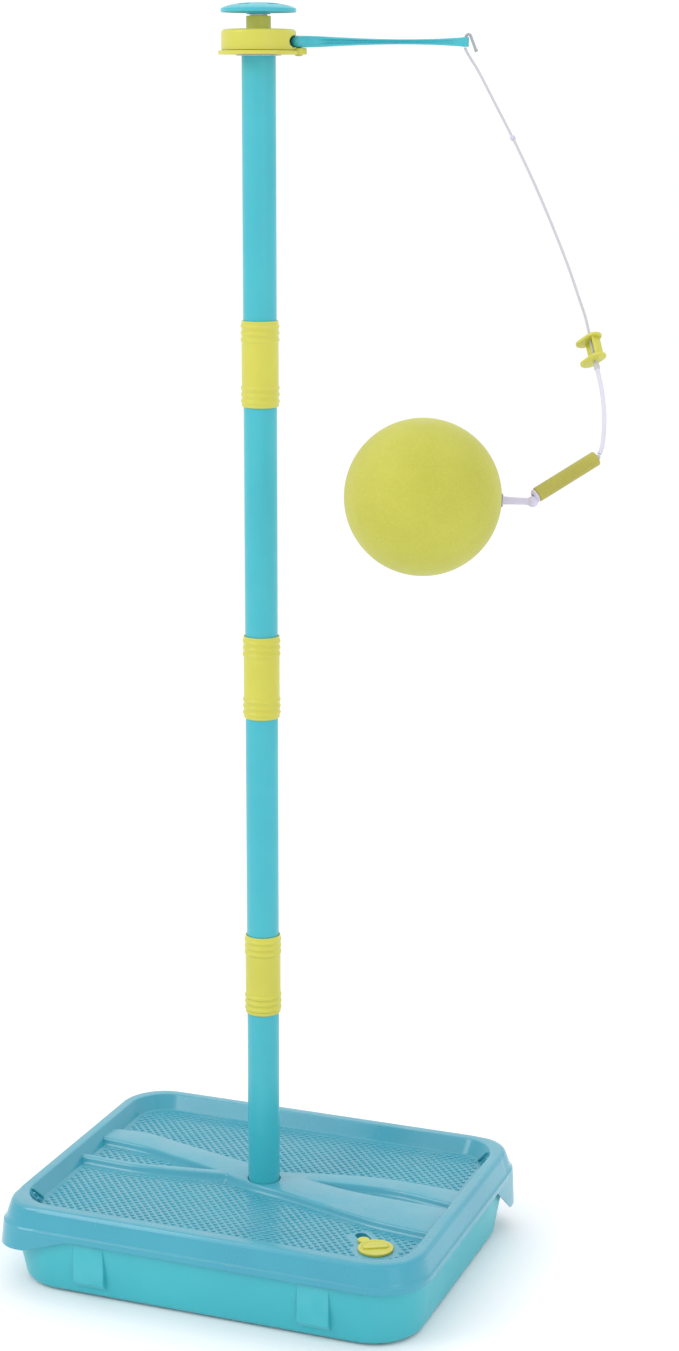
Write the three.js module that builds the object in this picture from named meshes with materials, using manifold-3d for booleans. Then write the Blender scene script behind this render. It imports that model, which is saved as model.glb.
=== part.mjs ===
// Free-standing tetherball set: a weighted base that doubles as a carry case, a pole in four
// push-fit sections, a spinning head with a folding arm, and a foam ball on a line.
// Millimetres, +Z up, origin on the floor under the pole's axis, +X along the base's long side.

import * as THREE from 'three';
import { mergeVertices } from 'three/addons/utils/BufferGeometryUtils.js';
import Module from 'manifold-3d';

const wasm = await Module();
wasm.setup();

// ---------- driving dimensions ----------

const gap = 0.3; // between touching pieces
const wall = 2.5; // moulded plastic wall

const base = { halfX: 244, halfY: 189, height: 97, cornerRadius: 58, deckZ: 80.5, beamZ: 88.4 };
const skirt = { bottomZ: 66, topZ: 73, thickness: 2.6 };
const lip = { bottomRadius: 30, radius: 37, reach: 110 };
// The two deep corners: lower edge, and its rise along the long and the short side.
const lipCorners = [
  { signX: -1, signY: -1, bottomZ: 48, longRise: 0.33, shortRise: 0.75 },
  { signX: 1, signY: 1, bottomZ: 28, longRise: 0.7, shortRise: 0.75 },
];
const tubFloor = { halfX: 230, halfY: 175, z: 2, thickness: 3, discRadius: 34, lean: 9.4 };
const tubRimZ = 75;
const panel = { width: 36, offsetX: 130, faceY: 184.5, topZ: 65, bottomZ: 8, taper: 12, depth: 12 };
const tray = { halfX: 202, halfY: 146, bottomZ: 40, cornerRadius: 24 };
const bung = { x: 174, y: -112, radius: 19, plugRadius: 12.2, holeRadius: 17 };
const fingerNotch = { x: 151, y: -88.5, length: 22, width: 13, floorZ: 73, turn: 135 };
const footPad = { radius: 14, height: 1.7, x: 172, y: 122 };

const pole = { radius: 17.5, bore: 15.5, pitch: 334.5, firstJointZ: 331, footZ: 9, topZ: 1330 };
const collar = { height: 90, radius: 19.7, beadRadius: 20.3, bore: 17.8, stopBore: 14.5, stopHalf: 1 };
const socket = { bore: 17.9, radius: 20.4, bottomZ: 5.5, topZ: 77.7, flangeRadius: 27 };

const headTurn = 20.8; // degrees, where the arm points at rest
const drum = { radius: 38.1, bottomZ: 1317.8, topZ: 1338.6, neckRadius: 12.7, neckTopZ: 1351.6 };
const armSlot = { fromX: 29.4, farY: 11.8, bottomZ: 1319.9, topZ: 1332.7 };
const flange = { radius: 41.5, bottomZ: 1313.5, topZ: 1317.4, bore: 20.5, earTopZ: 1319.9 };
const armPivot = { x: 40.8, bossRadius: 10.2, earRadius: 8.1, pinRadius: 2.5 };
const arm = { bottomZ: 1320.4, topZ: 1332.2, midZ: 1326.3, tipX: 210, tipRadius: 3.5, tipHeight: 9.6 };
const spindle = { radius: 5, bottomZ: 1308, topZ: 1357 };
const dome = { radius: 38.4, rimZ: 1355.1, topZ: 1365.1, bossBottomZ: 1353.2 };
const capWindow = { count: 5, ringRadius: 24.5, length: 15, width: 7, firstAngle: -52.3 };

const lineDiameter = 2.8;
const leaderDiameter = 4.4;
const tailDiameter = 3;
const ballRadius = 75;
const ballSkin = 4.5;
const ballCentre = [162, -270, 901.8];
const leaderPivot = [329.6, -246.4, 937]; // where the leader's knot turns in the sleeve
const linkPivot = [266.5, -269.7, 897.6]; // where the ball's link turns in the sleeve's plug
const sleeve = { end: [270.6, -265.9, 903.4], radius: 7.3, bore: 2.9 };

// Routes of the line in the head's own axes: x along the arm, y across it, z up.
const lineRoute = [
  [210, 0, 1319.4], [212.4, -3, 1314.5], [222.1, -14.2, 1298.5], [238.7, -34, 1266],
  [255.9, -56.1, 1231.9], [273.7, -83.3, 1193.5], [291.2, -111.3, 1151.7],
  [307.5, -139.6, 1108.6], [316.2, -155.6, 1082], [322.3, -168.6, 1062.4],
  [325.65, -179.5, 1046], [328.98, -190.4, 1029.6], [331.1, -197.3, 1019.1],
];
const leaderRoute = [
  [331.7, -199.2, 1016.4], [332.9, -203.1, 1010.4], [335.6, -212.6, 995.3], [336.8, -223.9, 977.4],
  [336, -234.1, 959.4], [333.6, -242, 945.2], [331.3, -244.9, 939.9],
];
const tailRoute = [
  [210, 0, 1321.6], [210, 0, 1326], [210, 0, 1330.4], [211.2, -0.1, 1333], [213.2, -0.3, 1334],
  [214.9, -0.6, 1332.8], [216.6, -0.9, 1328.5], [218.4, -1.2, 1324], [220.2, -1.5, 1319.1],
];
const tailEnd = [221.4, -1.7, 1316.6];

const colours = {
  tubTeal: 0x49b7c7,
  deckBlue: 0x4eaac4,
  poleTeal: 0x47b4c8,
  lime: 0xd2ce52,
  ballLime: 0xcbc84c,
  white: 0xdcd6e6,
  cordGrey: 0xc8c8cb,
  steel: 0x9aa0a6,
  rubber: 0x30343a,
};

// ---------- meshes, joins and cuts ----------

const rad = THREE.MathUtils.degToRad;

function plain(geometry) {
  const bare = geometry.clone();
  for (const name of ['normal', 'uv']) {
    bare.deleteAttribute(name);
  }
  return mergeVertices(bare, 1e-4);
}

function solid(geometry) {
  const bare = plain(geometry);
  const triVerts = Uint32Array.from(bare.index.array);
  const vertProperties = Float32Array.from(bare.attributes.position.array);
  return new wasm.Manifold(new wasm.Mesh({ numProp: 3, vertProperties, triVerts }));
}

function geometryOf(manifold) {
  const mesh = manifold.getMesh();
  const geometry = new THREE.BufferGeometry();
  geometry.setAttribute('position', new THREE.BufferAttribute(mesh.vertProperties, 3));
  geometry.setIndex(new THREE.BufferAttribute(mesh.triVerts, 1));
  return geometry;
}

function join(first, ...others) {
  return geometryOf(others.reduce((sum, other) => sum.add(solid(other)), solid(first)));
}

function cut(first, ...others) {
  return geometryOf(others.reduce((rest, other) => rest.subtract(solid(other)), solid(first)));
}

function common(first, second) {
  return geometryOf(solid(first).intersect(solid(second)));
}

function lathe(profile, segments = 32) {
  const points = profile.map(([r, z]) => new THREE.Vector2(r, z));
  const geometry = new THREE.LatheGeometry(points, segments);
  geometry.rotateX(Math.PI / 2);
  return outward(plain(geometry));
}

// Turns every face over when the signed volume comes out negative.
function outward(geometry) {
  const p = geometry.attributes.position;
  const index = geometry.index.array;
  const [a, b, c] = [new THREE.Vector3(), new THREE.Vector3(), new THREE.Vector3()];
  let volume = 0;
  for (let i = 0; i < index.length; i += 3) {
    a.fromBufferAttribute(p, index[i]);
    b.fromBufferAttribute(p, index[i + 1]);
    c.fromBufferAttribute(p, index[i + 2]);
    volume += a.dot(b.cross(c));
  }
  if (volume < 0) {
    for (let i = 0; i < index.length; i += 3) {
      [index[i], index[i + 1]] = [index[i + 1], index[i]];
    }
  }
  return geometry;
}

function ring(inner, outer, bottomZ, topZ, segments = 32) {
  return lathe([[inner, bottomZ], [outer, bottomZ], [outer, topZ], [inner, topZ], [inner, bottomZ]], segments);
}

function disc(radius, bottomZ, topZ, segments = 32) {
  return lathe([[0, bottomZ], [radius, bottomZ], [radius, topZ], [0, topZ]], segments);
}

function block(minX, maxX, minY, maxY, minZ, maxZ) {
  const geometry = new THREE.BoxGeometry(maxX - minX, maxY - minY, maxZ - minZ);
  return geometry.translate((minX + maxX) / 2, (minY + maxY) / 2, (minZ + maxZ) / 2);
}

function ball(centre, radius, segments = 20) {
  const geometry = new THREE.SphereGeometry(radius, segments, segments / 2);
  return geometry.translate(...centre);
}

// Stands a solid that was made along +Z on a point, with +Z turned to a direction.
function aim(geometry, origin, direction) {
  const turn = new THREE.Quaternion();
  turn.setFromUnitVectors(new THREE.Vector3(0, 0, 1), new THREE.Vector3(...direction).normalize());
  return geometry.applyQuaternion(turn).translate(...origin);
}

// A prism with the given plan outline between two heights.
function prism(points, bottomZ, topZ) {
  const shape = new THREE.Shape(points.map(([x, y]) => new THREE.Vector2(x, y)));
  const geometry = new THREE.ExtrudeGeometry(shape, { depth: topZ - bottomZ, bevelEnabled: false });
  return geometry.translate(0, 0, bottomZ);
}

// One loop of a rounded rectangle, anticlockwise from above.
function roundedLoop(halfX, halfY, radius, z, cornerSteps = 6) {
  const loop = [];
  const corners = [[1, 1, 0], [-1, 1, 90], [-1, -1, 180], [1, -1, 270]];
  for (const [signX, signY, startAngle] of corners) {
    for (let step = 0; step <= cornerSteps; step += 1) {
      const angle = rad(startAngle + (90 * step) / cornerSteps);
      const x = signX * (halfX - radius) + radius * Math.cos(angle);
      const y = signY * (halfY - radius) + radius * Math.sin(angle);
      loop.push(new THREE.Vector3(x, y, z));
    }
  }
  return loop;
}

// Skins a stack of loops of equal length and closes its first and last loop with flat caps.
function loft(loops) {
  const count = loops[0].length;
  const positions = loops.flat().flatMap((point) => point.toArray());
  const index = [];
  for (let row = 0; row < loops.length - 1; row += 1) {
    for (let i = 0; i < count; i += 1) {
      const next = (i + 1) % count;
      const [a, b] = [row * count + i, row * count + next];
      const [c, d] = [b + count, a + count];
      index.push(a, b, c, a, c, d);
    }
  }
  const top = (loops.length - 1) * count;
  for (let i = 1; i < count - 1; i += 1) {
    index.push(0, i + 1, i);
    index.push(top, top + i, top + i + 1);
  }
  const geometry = new THREE.BufferGeometry();
  geometry.setAttribute('position', new THREE.Float32BufferAttribute(positions, 3));
  geometry.setIndex(index);
  return outward(geometry);
}

// A loop set in from the base's widest outline by the same amount all round.
function baseLoop(inset, z) {
  const radius = Math.max(base.cornerRadius - inset * 0.8, 14);
  return roundedLoop(base.halfX - inset, base.halfY - inset, radius, z);
}

// A smooth curve through points in plan, as a list of points.
function planCurve(points, steps) {
  const curve = new THREE.CatmullRomCurve3(points.map(([x, y]) => new THREE.Vector3(x, y, 0)));
  return curve.getPoints(steps).map((point) => [point.x, point.y]);
}

// A round tube with flat ends that follows a route.
function tubeAlong(route, diameter, steps) {
  const section = [];
  for (let i = 0; i < 8; i += 1) {
    const angle = (i / 8) * Math.PI * 2;
    section.push(new THREE.Vector2((Math.cos(angle) * diameter) / 2, (Math.sin(angle) * diameter) / 2));
  }
  const path = new THREE.CatmullRomCurve3(route.map((point) => new THREE.Vector3(...point)), false, 'centripetal');
  const geometry = new THREE.ExtrudeGeometry(new THREE.Shape(section), { steps, extrudePath: path });
  return outward(plain(geometry));
}

function addPart(group, name, geometry, colour, roughness = 0.35, metalness = 0) {
  const material = new THREE.MeshStandardMaterial({ color: colour, roughness, metalness });
  const mesh = new THREE.Mesh(geometry, material);
  mesh.name = name;
  group.add(mesh);
  return mesh;
}

// ---------- base ----------

function tubBody() {
  const grow = (z) => ((z - tubFloor.z) / (skirt.bottomZ - tubFloor.z)) * tubFloor.lean;
  const outer = (z, inset = 0) => roundedLoop(
    tubFloor.halfX + grow(z) - inset, tubFloor.halfY + grow(z) - inset, 56 - inset * 0.8, z);
  const rimZ = tubRimZ;
  const loops = [
    outer(tubFloor.z, 6), outer(tubFloor.z + 1.2, 2.6), outer(tubFloor.z + 3.5, 0.7),
    outer(tubFloor.z + 8, 0), outer(skirt.bottomZ), outer(rimZ, 2),
    outer(rimZ, 2 + wall), outer(skirt.bottomZ, wall), outer(tubFloor.z + 9, wall),
    outer(tubFloor.z + 5, wall + 1.2), outer(tubFloor.z + tubFloor.thickness, wall + 4),
  ];
  return loft(loops);
}

// A flat panel on the tub's long wall whose foot runs into the wall.
function panelPost(sideX, sideY) {
  const { width, faceY, topZ, bottomZ, taper, depth } = panel;
  const inner = faceY - depth - 6;
  const outline = [[inner, bottomZ], [faceY - depth, bottomZ], [faceY, bottomZ + taper], [faceY, topZ], [inner, topZ]];
  const cycle = new THREE.Matrix4().set(0, 0, 1, 0, sideY, 0, 0, 0, 0, 1, 0, 0, 0, 0, 0, 1);
  const post = prism(outline, -width / 2, width / 2).applyMatrix4(cycle);
  return outward(plain(post.translate(sideX * panel.offsetX, 0, 0)));
}

function makeTub() {
  const cutInside = loft([
    roundedLoop(tubFloor.halfX - 8, tubFloor.halfY - 8, 48, tubFloor.z + tubFloor.thickness),
    roundedLoop(tubFloor.halfX - 2, tubFloor.halfY - 2, 54, tubFloor.z + 10),
    roundedLoop(tubFloor.halfX + 6, tubFloor.halfY + 6, 54, skirt.bottomZ),
    roundedLoop(tubFloor.halfX + 6, tubFloor.halfY + 6, 54, tubRimZ + 2),
  ]);
  const panels = [-1, 1].flatMap((sideX) => [-1, 1].map((sideY) => cut(panelPost(sideX, sideY), cutInside)));
  const standingDisc = disc(tubFloor.discRadius, 0, tubFloor.z + 1);
  return join(tubBody(), standingDisc, ...panels);
}

function beamOutlines() {
  const wideBack = planCurve([[-226, 67], [-178, 70], [-130, 58], [-60, 41], [54, 13], [124, 1], [226, -4]], 18);
  const wideFront = planCurve([[226, -70], [156, -61], [75, -39], [-13, -18], [-69, 5], [-126, 22], [-226, 39]], 18);
  const slimBack = planCurve([[-226, -10], [-157, -12], [-101, -5], [11, 24], [65, 36], [116, 47], [171, 48], [226, 45]], 18);
  const slimFront = planCurve([[226, 8], [143, 22], [73, 16], [-64, -9], [-109, -16], [-154, -21], [-226, -18]], 18);
  return [[...wideBack, ...wideFront], [...slimBack, ...slimFront]];
}

// A deep lip that stands out round one corner of the skirt, with its lower edge rising at both ends.
function makeCornerLip({ signX, signY, bottomZ, longRise, shortRise }) {
  const { bottomRadius, radius, reach } = lip;
  const loop = (inset, r, z) => roundedLoop(base.halfX - inset, base.halfY - inset, r, z);
  const outside = loft([
    loop(0.2, bottomRadius, bottomZ), loop(0.2, radius - 1, 66), loop(0.6, radius, 73), loop(2.4, radius, 75),
    loop(3.5, radius, 79), loop(6.9, radius - 1, 92), loop(8.8, radius - 2, 95.8), loop(10.4, radius - 3, 96.9),
  ]);
  const inside = loft([
    loop(2.4, bottomRadius - 2, bottomZ - 2), loop(2.4, radius - 3, 66), loop(3, radius + 7, 74),
    loop(5, radius + 17, 81), loop(7.4, radius + 15.5, 90), loop(11, radius + 13, 95.6), loop(11, radius + 13, 99),
  ]);
  const [outerX, outerY] = [signX * (base.halfX + 1), signY * (base.halfY + 1)];
  const [x0, x1] = [outerX - signX * reach, outerX].sort((a, b) => a - b);
  const [y0, y1] = [outerY - signY * reach, outerY].sort((a, b) => a - b);
  const corner = common(cut(outside, inside), block(x0, x1, y0, y1, bottomZ - 1, 100));
  const trim = (body, axis, sign, half, rise) => {
    const size = Math.hypot(1, rise);
    const normal = [0, 0, 1 / size];
    normal[axis] = (sign * rise) / size;
    return body.trimByPlane(normal, (bottomZ + rise * (half - radius)) / size);
  };
  return geometryOf(trim(trim(solid(corner), 0, signX, base.halfX, longRise), 1, signY, base.halfY, shortRise));
}

function makeDeck() {
  const under = base.deckZ - wall;
  const loops = [
    baseLoop(28.6, under), baseLoop(18.6, base.height - wall), baseLoop(10.4, base.height - wall),
    baseLoop(4.8, skirt.topZ + 4), baseLoop(skirt.thickness, skirt.topZ - 0.5), baseLoop(skirt.thickness, skirt.bottomZ),
    baseLoop(0, skirt.bottomZ), baseLoop(0, skirt.topZ), baseLoop(2, skirt.topZ + 1.6),
    baseLoop(6, 90), baseLoop(7.6, 95), baseLoop(9.6, base.height), baseLoop(20, base.height),
    baseLoop(30, base.deckZ),
  ];
  const inside = loft([baseLoop(29.4, base.deckZ - 1), baseLoop(19.7, base.height - 2)]);
  const beams = beamOutlines().map((outline) => common(prism(outline, base.deckZ - 1, base.beamZ), inside));
  const notch = fingerNotch;
  const pocket = (grow, bottomZ, topZ) => {
    const oval = lathe([[0, 0], [0.5 * notch.width + grow, 0], [0.5 * notch.width + grow, topZ - bottomZ],
      [0, topZ - bottomZ]], 20);
    oval.scale((notch.length + 2 * grow) / (notch.width + 2 * grow), 1, 1);
    return oval.rotateZ(rad(notch.turn)).translate(notch.x, notch.y, bottomZ);
  };
  const lips = lipCorners.map(makeCornerLip);
  const shell = join(loft(loops), ...beams, ...lips, pocket(1.6, notch.floorZ - 1.8, base.deckZ));
  return cut(
    shell,
    disc(pole.radius + 1.1, under - 5, base.beamZ + 5),
    disc(bung.holeRadius, under - 5, base.deckZ + 5).translate(bung.x, bung.y, 0),
    pocket(0, notch.floorZ, base.deckZ + 5),
  );
}

function makeTray() {
  const loop = (inset, z) => roundedLoop(tray.halfX - inset, tray.halfY - inset, tray.cornerRadius, z, 3);
  const topZ = base.deckZ - wall - gap;
  const shell = loft([
    loop(6, tray.bottomZ), loop(0, topZ), loop(wall, topZ), loop(6 + wall, tray.bottomZ + wall),
  ]);
  return cut(shell, disc(socket.radius + gap, tray.bottomZ - 1, tray.bottomZ + 10));
}

function makeSocket() {
  const s = socket;
  return lathe([
    [0, s.bottomZ], [s.radius, s.bottomZ], [s.radius, s.topZ - 2.5], [s.flangeRadius, s.topZ - 2.5],
    [s.flangeRadius, s.topZ], [s.bore, s.topZ], [s.bore, pole.footZ - gap], [0, pole.footZ - gap],
  ]);
}

function makeBung() {
  const flangeZ = base.deckZ + gap;
  const topZ = flangeZ + 2.6;
  const body = lathe([
    [0, 66], [bung.plugRadius - 1, 66], [bung.plugRadius, 68], [bung.plugRadius, flangeZ], [bung.radius - 0.4, flangeZ],
    [bung.radius, flangeZ + 0.5], [bung.radius, topZ - 0.8], [bung.radius - 0.9, topZ], [0, topZ],
  ]);
  const lobe = disc(6.5, flangeZ, topZ, 20).translate(-18.5, 13.5, 0);
  const bar = block(-15, 15, -2.4, 2.4, topZ - 0.5, topZ + 1.4).rotateZ(rad(28));
  return join(body, lobe, bar).translate(bung.x, bung.y, 0);
}

function makeBase() {
  const group = new THREE.Group();
  addPart(group, 'tub', makeTub(), colours.tubTeal);
  addPart(group, 'deck_lid', makeDeck(), colours.deckBlue, 0.25);
  addPart(group, 'ballast_tray', makeTray(), colours.deckBlue);
  addPart(group, 'pole_socket', makeSocket(), colours.deckBlue);
  addPart(group, 'filler_bung', makeBung(), colours.lime);
  const seal = ring(bung.plugRadius + gap, bung.holeRadius - gap, 77, 80, 20).translate(bung.x, bung.y, 0);
  addPart(group, 'bung_seal', seal, colours.rubber, 0.8);
  const spots = [[1, 1], [-1, 1], [-1, -1], [1, -1]];
  spots.forEach(([signX, signY], i) => {
    const pad = disc(footPad.radius, 0, footPad.height, 20);
    pad.translate(signX * footPad.x, signY * footPad.y, 0);
    addPart(group, `foot_pad_${i + 1}`, pad, colours.rubber, 0.9);
  });
  return group;
}

// ---------- pole ----------

function makeCollar(centreZ) {
  const { height, radius, beadRadius, bore, stopBore, stopHalf } = collar;
  const half = height / 2;
  const outer = [[radius - 1, -half], [radius, -half + 2]];
  for (const centre of [-half + 6, -half + 13, -half + 20, half - 20, half - 13, half - 6]) {
    outer.push([radius, centre - 2], [beadRadius, centre], [radius, centre + 2]);
  }
  outer.push([radius, half - 2], [radius - 1, half]);
  const inner = [[bore, half], [bore, stopHalf], [stopBore, stopHalf], [stopBore, -stopHalf], [bore, -stopHalf], [bore, -half]];
  const profile = [...outer, ...inner, outer[0]];
  return lathe(profile, 24).translate(0, 0, centreZ);
}

function makePole() {
  const group = new THREE.Group();
  const endGap = collar.stopHalf + gap;
  for (let i = 0; i < 4; i += 1) {
    const jointBelow = pole.firstJointZ + (i - 1) * pole.pitch;
    const bottomZ = i === 0 ? pole.footZ : jointBelow + endGap;
    const topZ = i === 3 ? pole.topZ : jointBelow + pole.pitch - endGap;
    addPart(group, `pole_tube_${i + 1}`, ring(pole.bore, pole.radius, bottomZ, topZ), colours.poleTeal);
  }
  for (let i = 0; i < 3; i += 1) {
    addPart(group, `pole_collar_${i + 1}`, makeCollar(pole.firstJointZ + i * pole.pitch), colours.lime);
  }
  return group;
}

// ---------- head ----------

function makePolePlug() {
  const rim = pole.topZ + gap;
  return lathe([
    [spindle.radius + gap, 1305], [pole.bore - 1, 1305], [pole.bore - gap, 1307], [pole.bore - gap, rim],
    [pole.radius, rim], [pole.radius, rim + 2], [spindle.radius + gap, rim + 2], [spindle.radius + gap, 1305],
  ], 28);
}

function makeSpindle() {
  const r = spindle.radius;
  return lathe([[0, spindle.bottomZ], [r - 0.6, spindle.bottomZ], [r, spindle.bottomZ + 0.8], [r, spindle.topZ - 0.8],
    [r - 0.6, spindle.topZ], [0, spindle.topZ]], 20);
}

function screwSpots() {
  return [80, 200, 300].map((angle) => [28 * Math.cos(rad(angle)), 28 * Math.sin(rad(angle))]);
}

function makeDrum() {
  const { radius, bottomZ, topZ, neckRadius, neckTopZ } = drum;
  const edge = 4;
  const profile = [[radius, bottomZ]];
  for (let step = 0; step <= 4; step += 1) {
    const angle = rad(22.5 * step);
    profile.push([radius - edge + edge * Math.cos(angle), topZ - edge + edge * Math.sin(angle)]);
  }
  profile.push([neckRadius + 0.6, topZ], [neckRadius, topZ + 0.8], [neckRadius, neckTopZ], [8.3, neckTopZ]);
  profile.push([8.3, topZ - wall], [radius - wall, topZ - wall], [radius - wall, bottomZ], [radius, bottomZ]);
  const bosses = screwSpots().map(([x, y]) => cut(
    disc(4, bottomZ, topZ - 1, 12), disc(1.5, bottomZ - 1, bottomZ + 14, 10)).translate(x, y, 0));
  const half = (armSlot.topZ - armSlot.bottomZ) / 2;
  const endX = armSlot.fromX + half;
  const slotEnd = disc(half, -armSlot.farY, 60, 24).rotateX(Math.PI / 2).translate(endX, 0, arm.midZ);
  const slot = join(block(endX, 80, -60, armSlot.farY, armSlot.bottomZ, armSlot.topZ), slotEnd);
  const earRoom = disc(armPivot.earRadius + 0.4, bottomZ - 1, armSlot.bottomZ + 1, 24).translate(armPivot.x, 0, 0);
  return cut(join(lathe(profile, 40), ...bosses), slot, earRoom);
}

function makeFlange() {
  const { radius, bottomZ, topZ, bore, earTopZ } = flange;
  const plate = ring(bore, radius, bottomZ, topZ, 40);
  const ear = lathe([[0, bottomZ], [armPivot.earRadius - 0.8, bottomZ], [armPivot.earRadius, bottomZ + 1],
    [armPivot.earRadius, earTopZ - 1.6], [armPivot.earRadius - 1.2, earTopZ], [0, earTopZ]], 24);
  const holes = screwSpots().map(([x, y]) => join(
    disc(1.9, bottomZ - 1, topZ + 1, 12), disc(3.4, bottomZ - 1, bottomZ + 2.2, 12)).translate(x, y, 0));
  const pinHole = disc(armPivot.pinRadius + gap, bottomZ - 1, earTopZ + 1, 16).translate(armPivot.x, 0, 0);
  return cut(join(plate, ear.translate(armPivot.x, 0, 0)), pinHole, ...holes);
}

function makeScrew([x, y]) {
  const headZ = flange.bottomZ + 0.2;
  return lathe([[0, headZ], [3, headZ], [3, headZ + 1.7], [1.2, headZ + 1.8], [1.2, headZ + 12], [0, headZ + 12.6]], 12)
    .translate(x, y, 0);
}

function makeArm() {
  const start = armPivot.x;
  const heights = [[start, 5.6], [62, 5.2], [95, 3.7], [141, 2.5], [170, 2.7], [192, 3.6], [arm.tipX, 4.6]];
  const widths = [[start, 8], [62, 7.2], [95, 5.6], [141, 4.4], [170, 3.8], [192, 3.4], [arm.tipX, 3.2]];
  const outline = (rows) => [...rows.map(([x, half]) => [x, -half]), ...rows.toReversed().map(([x, half]) => [x, half])];
  const side = prism(outline(heights), -12, 12).rotateX(Math.PI / 2).translate(0, 0, arm.midZ);
  const plan = prism(outline(widths), arm.bottomZ - 2, arm.topZ + 2);
  const half = (arm.topZ - arm.bottomZ) / 2;
  const r = armPivot.bossRadius;
  const boss = lathe([[0, -half], [r - 5, -half], [r - 1.6, -half + 2], [r, -0.5], [r, 1], [r - 1.2, half - 1.4],
    [r - 4, half], [0, half]], 28).translate(armPivot.x, 0, arm.midZ);
  const tip = disc(arm.tipRadius, arm.midZ - arm.tipHeight / 2, arm.midZ + arm.tipHeight / 2, 16).translate(arm.tipX, 0, 0);
  const pinHole = disc(armPivot.pinRadius + gap, arm.bottomZ - 1, arm.topZ + 1, 16).translate(armPivot.x, 0, 0);
  const headRoom = disc(4.4, arm.topZ - 1.4, arm.topZ + 1, 16).translate(armPivot.x, 0, 0);
  const cordHole = disc(tailDiameter / 2 + gap, arm.bottomZ - 3, arm.topZ + 3, 12).translate(arm.tipX, 0, 0);
  return cut(join(common(side, plan), boss, tip), pinHole, headRoom, cordHole);
}

function makeArmPin() {
  const r = armPivot.pinRadius;
  const topZ = arm.topZ - 0.2;
  const tipZ = flange.bottomZ - 1.7;
  return lathe([[0, tipZ], [r - 0.6, tipZ], [r, tipZ + 0.6], [r, topZ - 0.9], [4, topZ - 0.9], [4, topZ - 0.2], [3.4, topZ],
    [0, topZ]], 16).translate(armPivot.x, 0, 0);
}

function makePinNut() {
  return ring(armPivot.pinRadius + gap, 4, flange.bottomZ - 1.3, flange.bottomZ - gap, 16).translate(armPivot.x, 0, 0);
}

function makeDome() {
  const { radius, rimZ, topZ, bossBottomZ } = dome;
  const bulge = (r) => (topZ - rimZ - 1.2) * Math.sqrt(Math.max(0, 1 - (r / (radius + 1.5)) ** 2));
  const outer = [radius, 33, 26, 18, 9, 0].map((r) => [r, rimZ + 1.2 + bulge(r)]);
  const under = [[spindle.radius + gap, spindle.topZ + gap], [spindle.radius + gap, bossBottomZ], [12.2, bossBottomZ]];
  under.push([12.2, rimZ + 1.6], [20, rimZ + 4.2], [30, rimZ + 2.4], [radius - 1.2, rimZ]);
  const shell = lathe([[0, spindle.topZ + gap], ...under, ...outer], 40);
  const { count, ringRadius, length, width, firstAngle } = capWindow;
  const windows = Array.from({ length: count }, (_, i) => disc(1, rimZ - 2, topZ + 2, 16)
    .scale(width / 2, length / 2, 1).translate(ringRadius, 0, 0).rotateZ(rad((360 * i) / count + firstAngle)));
  return cut(shell, ...windows);
}

function makeHead() {
  const group = new THREE.Group();
  group.rotation.z = rad(headTurn);
  addPart(group, 'pole_plug', makePolePlug(), colours.poleTeal);
  addPart(group, 'spindle', makeSpindle(), colours.steel, 0.3, 0.9);
  addPart(group, 'thrust_washer', ring(5.5, 14, 1332.6, 1334.1, 24), colours.white, 0.4);
  const upperBush = lathe([[5.3, 1334.4], [12, 1334.4], [12, 1335.8], [8, 1335.8], [8, 1350.5], [5.3, 1350.5], [5.3, 1334.4]], 24);
  addPart(group, 'upper_bush', upperBush, colours.white, 0.4);
  const lowerBush = lathe([[17.8, 1312.3], [23, 1312.3], [23, 1313.2], [20.2, 1313.2], [20.2, 1320], [17.8, 1320], [17.8, 1312.3]], 28);
  addPart(group, 'lower_bush', lowerBush, colours.white, 0.4);
  addPart(group, 'retaining_ring', ring(5.3, 9, 1351.9, 1352.9, 20), colours.steel, 0.3, 0.9);
  addPart(group, 'hub_drum', makeDrum(), colours.lime);
  addPart(group, 'hub_flange', makeFlange(), colours.lime);
  screwSpots().forEach((spot, i) => {
    addPart(group, `hub_screw_${i + 1}`, makeScrew(spot), colours.steel, 0.3, 0.9);
  });
  addPart(group, 'head_cap', makeDome(), colours.poleTeal);
  addPart(group, 'arm', makeArm(), colours.poleTeal);
  addPart(group, 'arm_pin', makeArmPin(), colours.lime);
  addPart(group, 'arm_pin_nut', makePinNut(), colours.lime);
  return group;
}

// ---------- line, clip, sleeve and ball ----------

function between(from, to) {
  return new THREE.Vector3(...to).sub(new THREE.Vector3(...from));
}

// Direction in which the straight stretch of the line runs down through the clip.
const lineFall = between(lineRoute[9], lineRoute[12]).normalize();
const clip = { centre: [326.4, -187.8, 1033.3], tilt: 22, turn: -40, length: 30, depth: 17, spacing: 22, flange: 3 };

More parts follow.
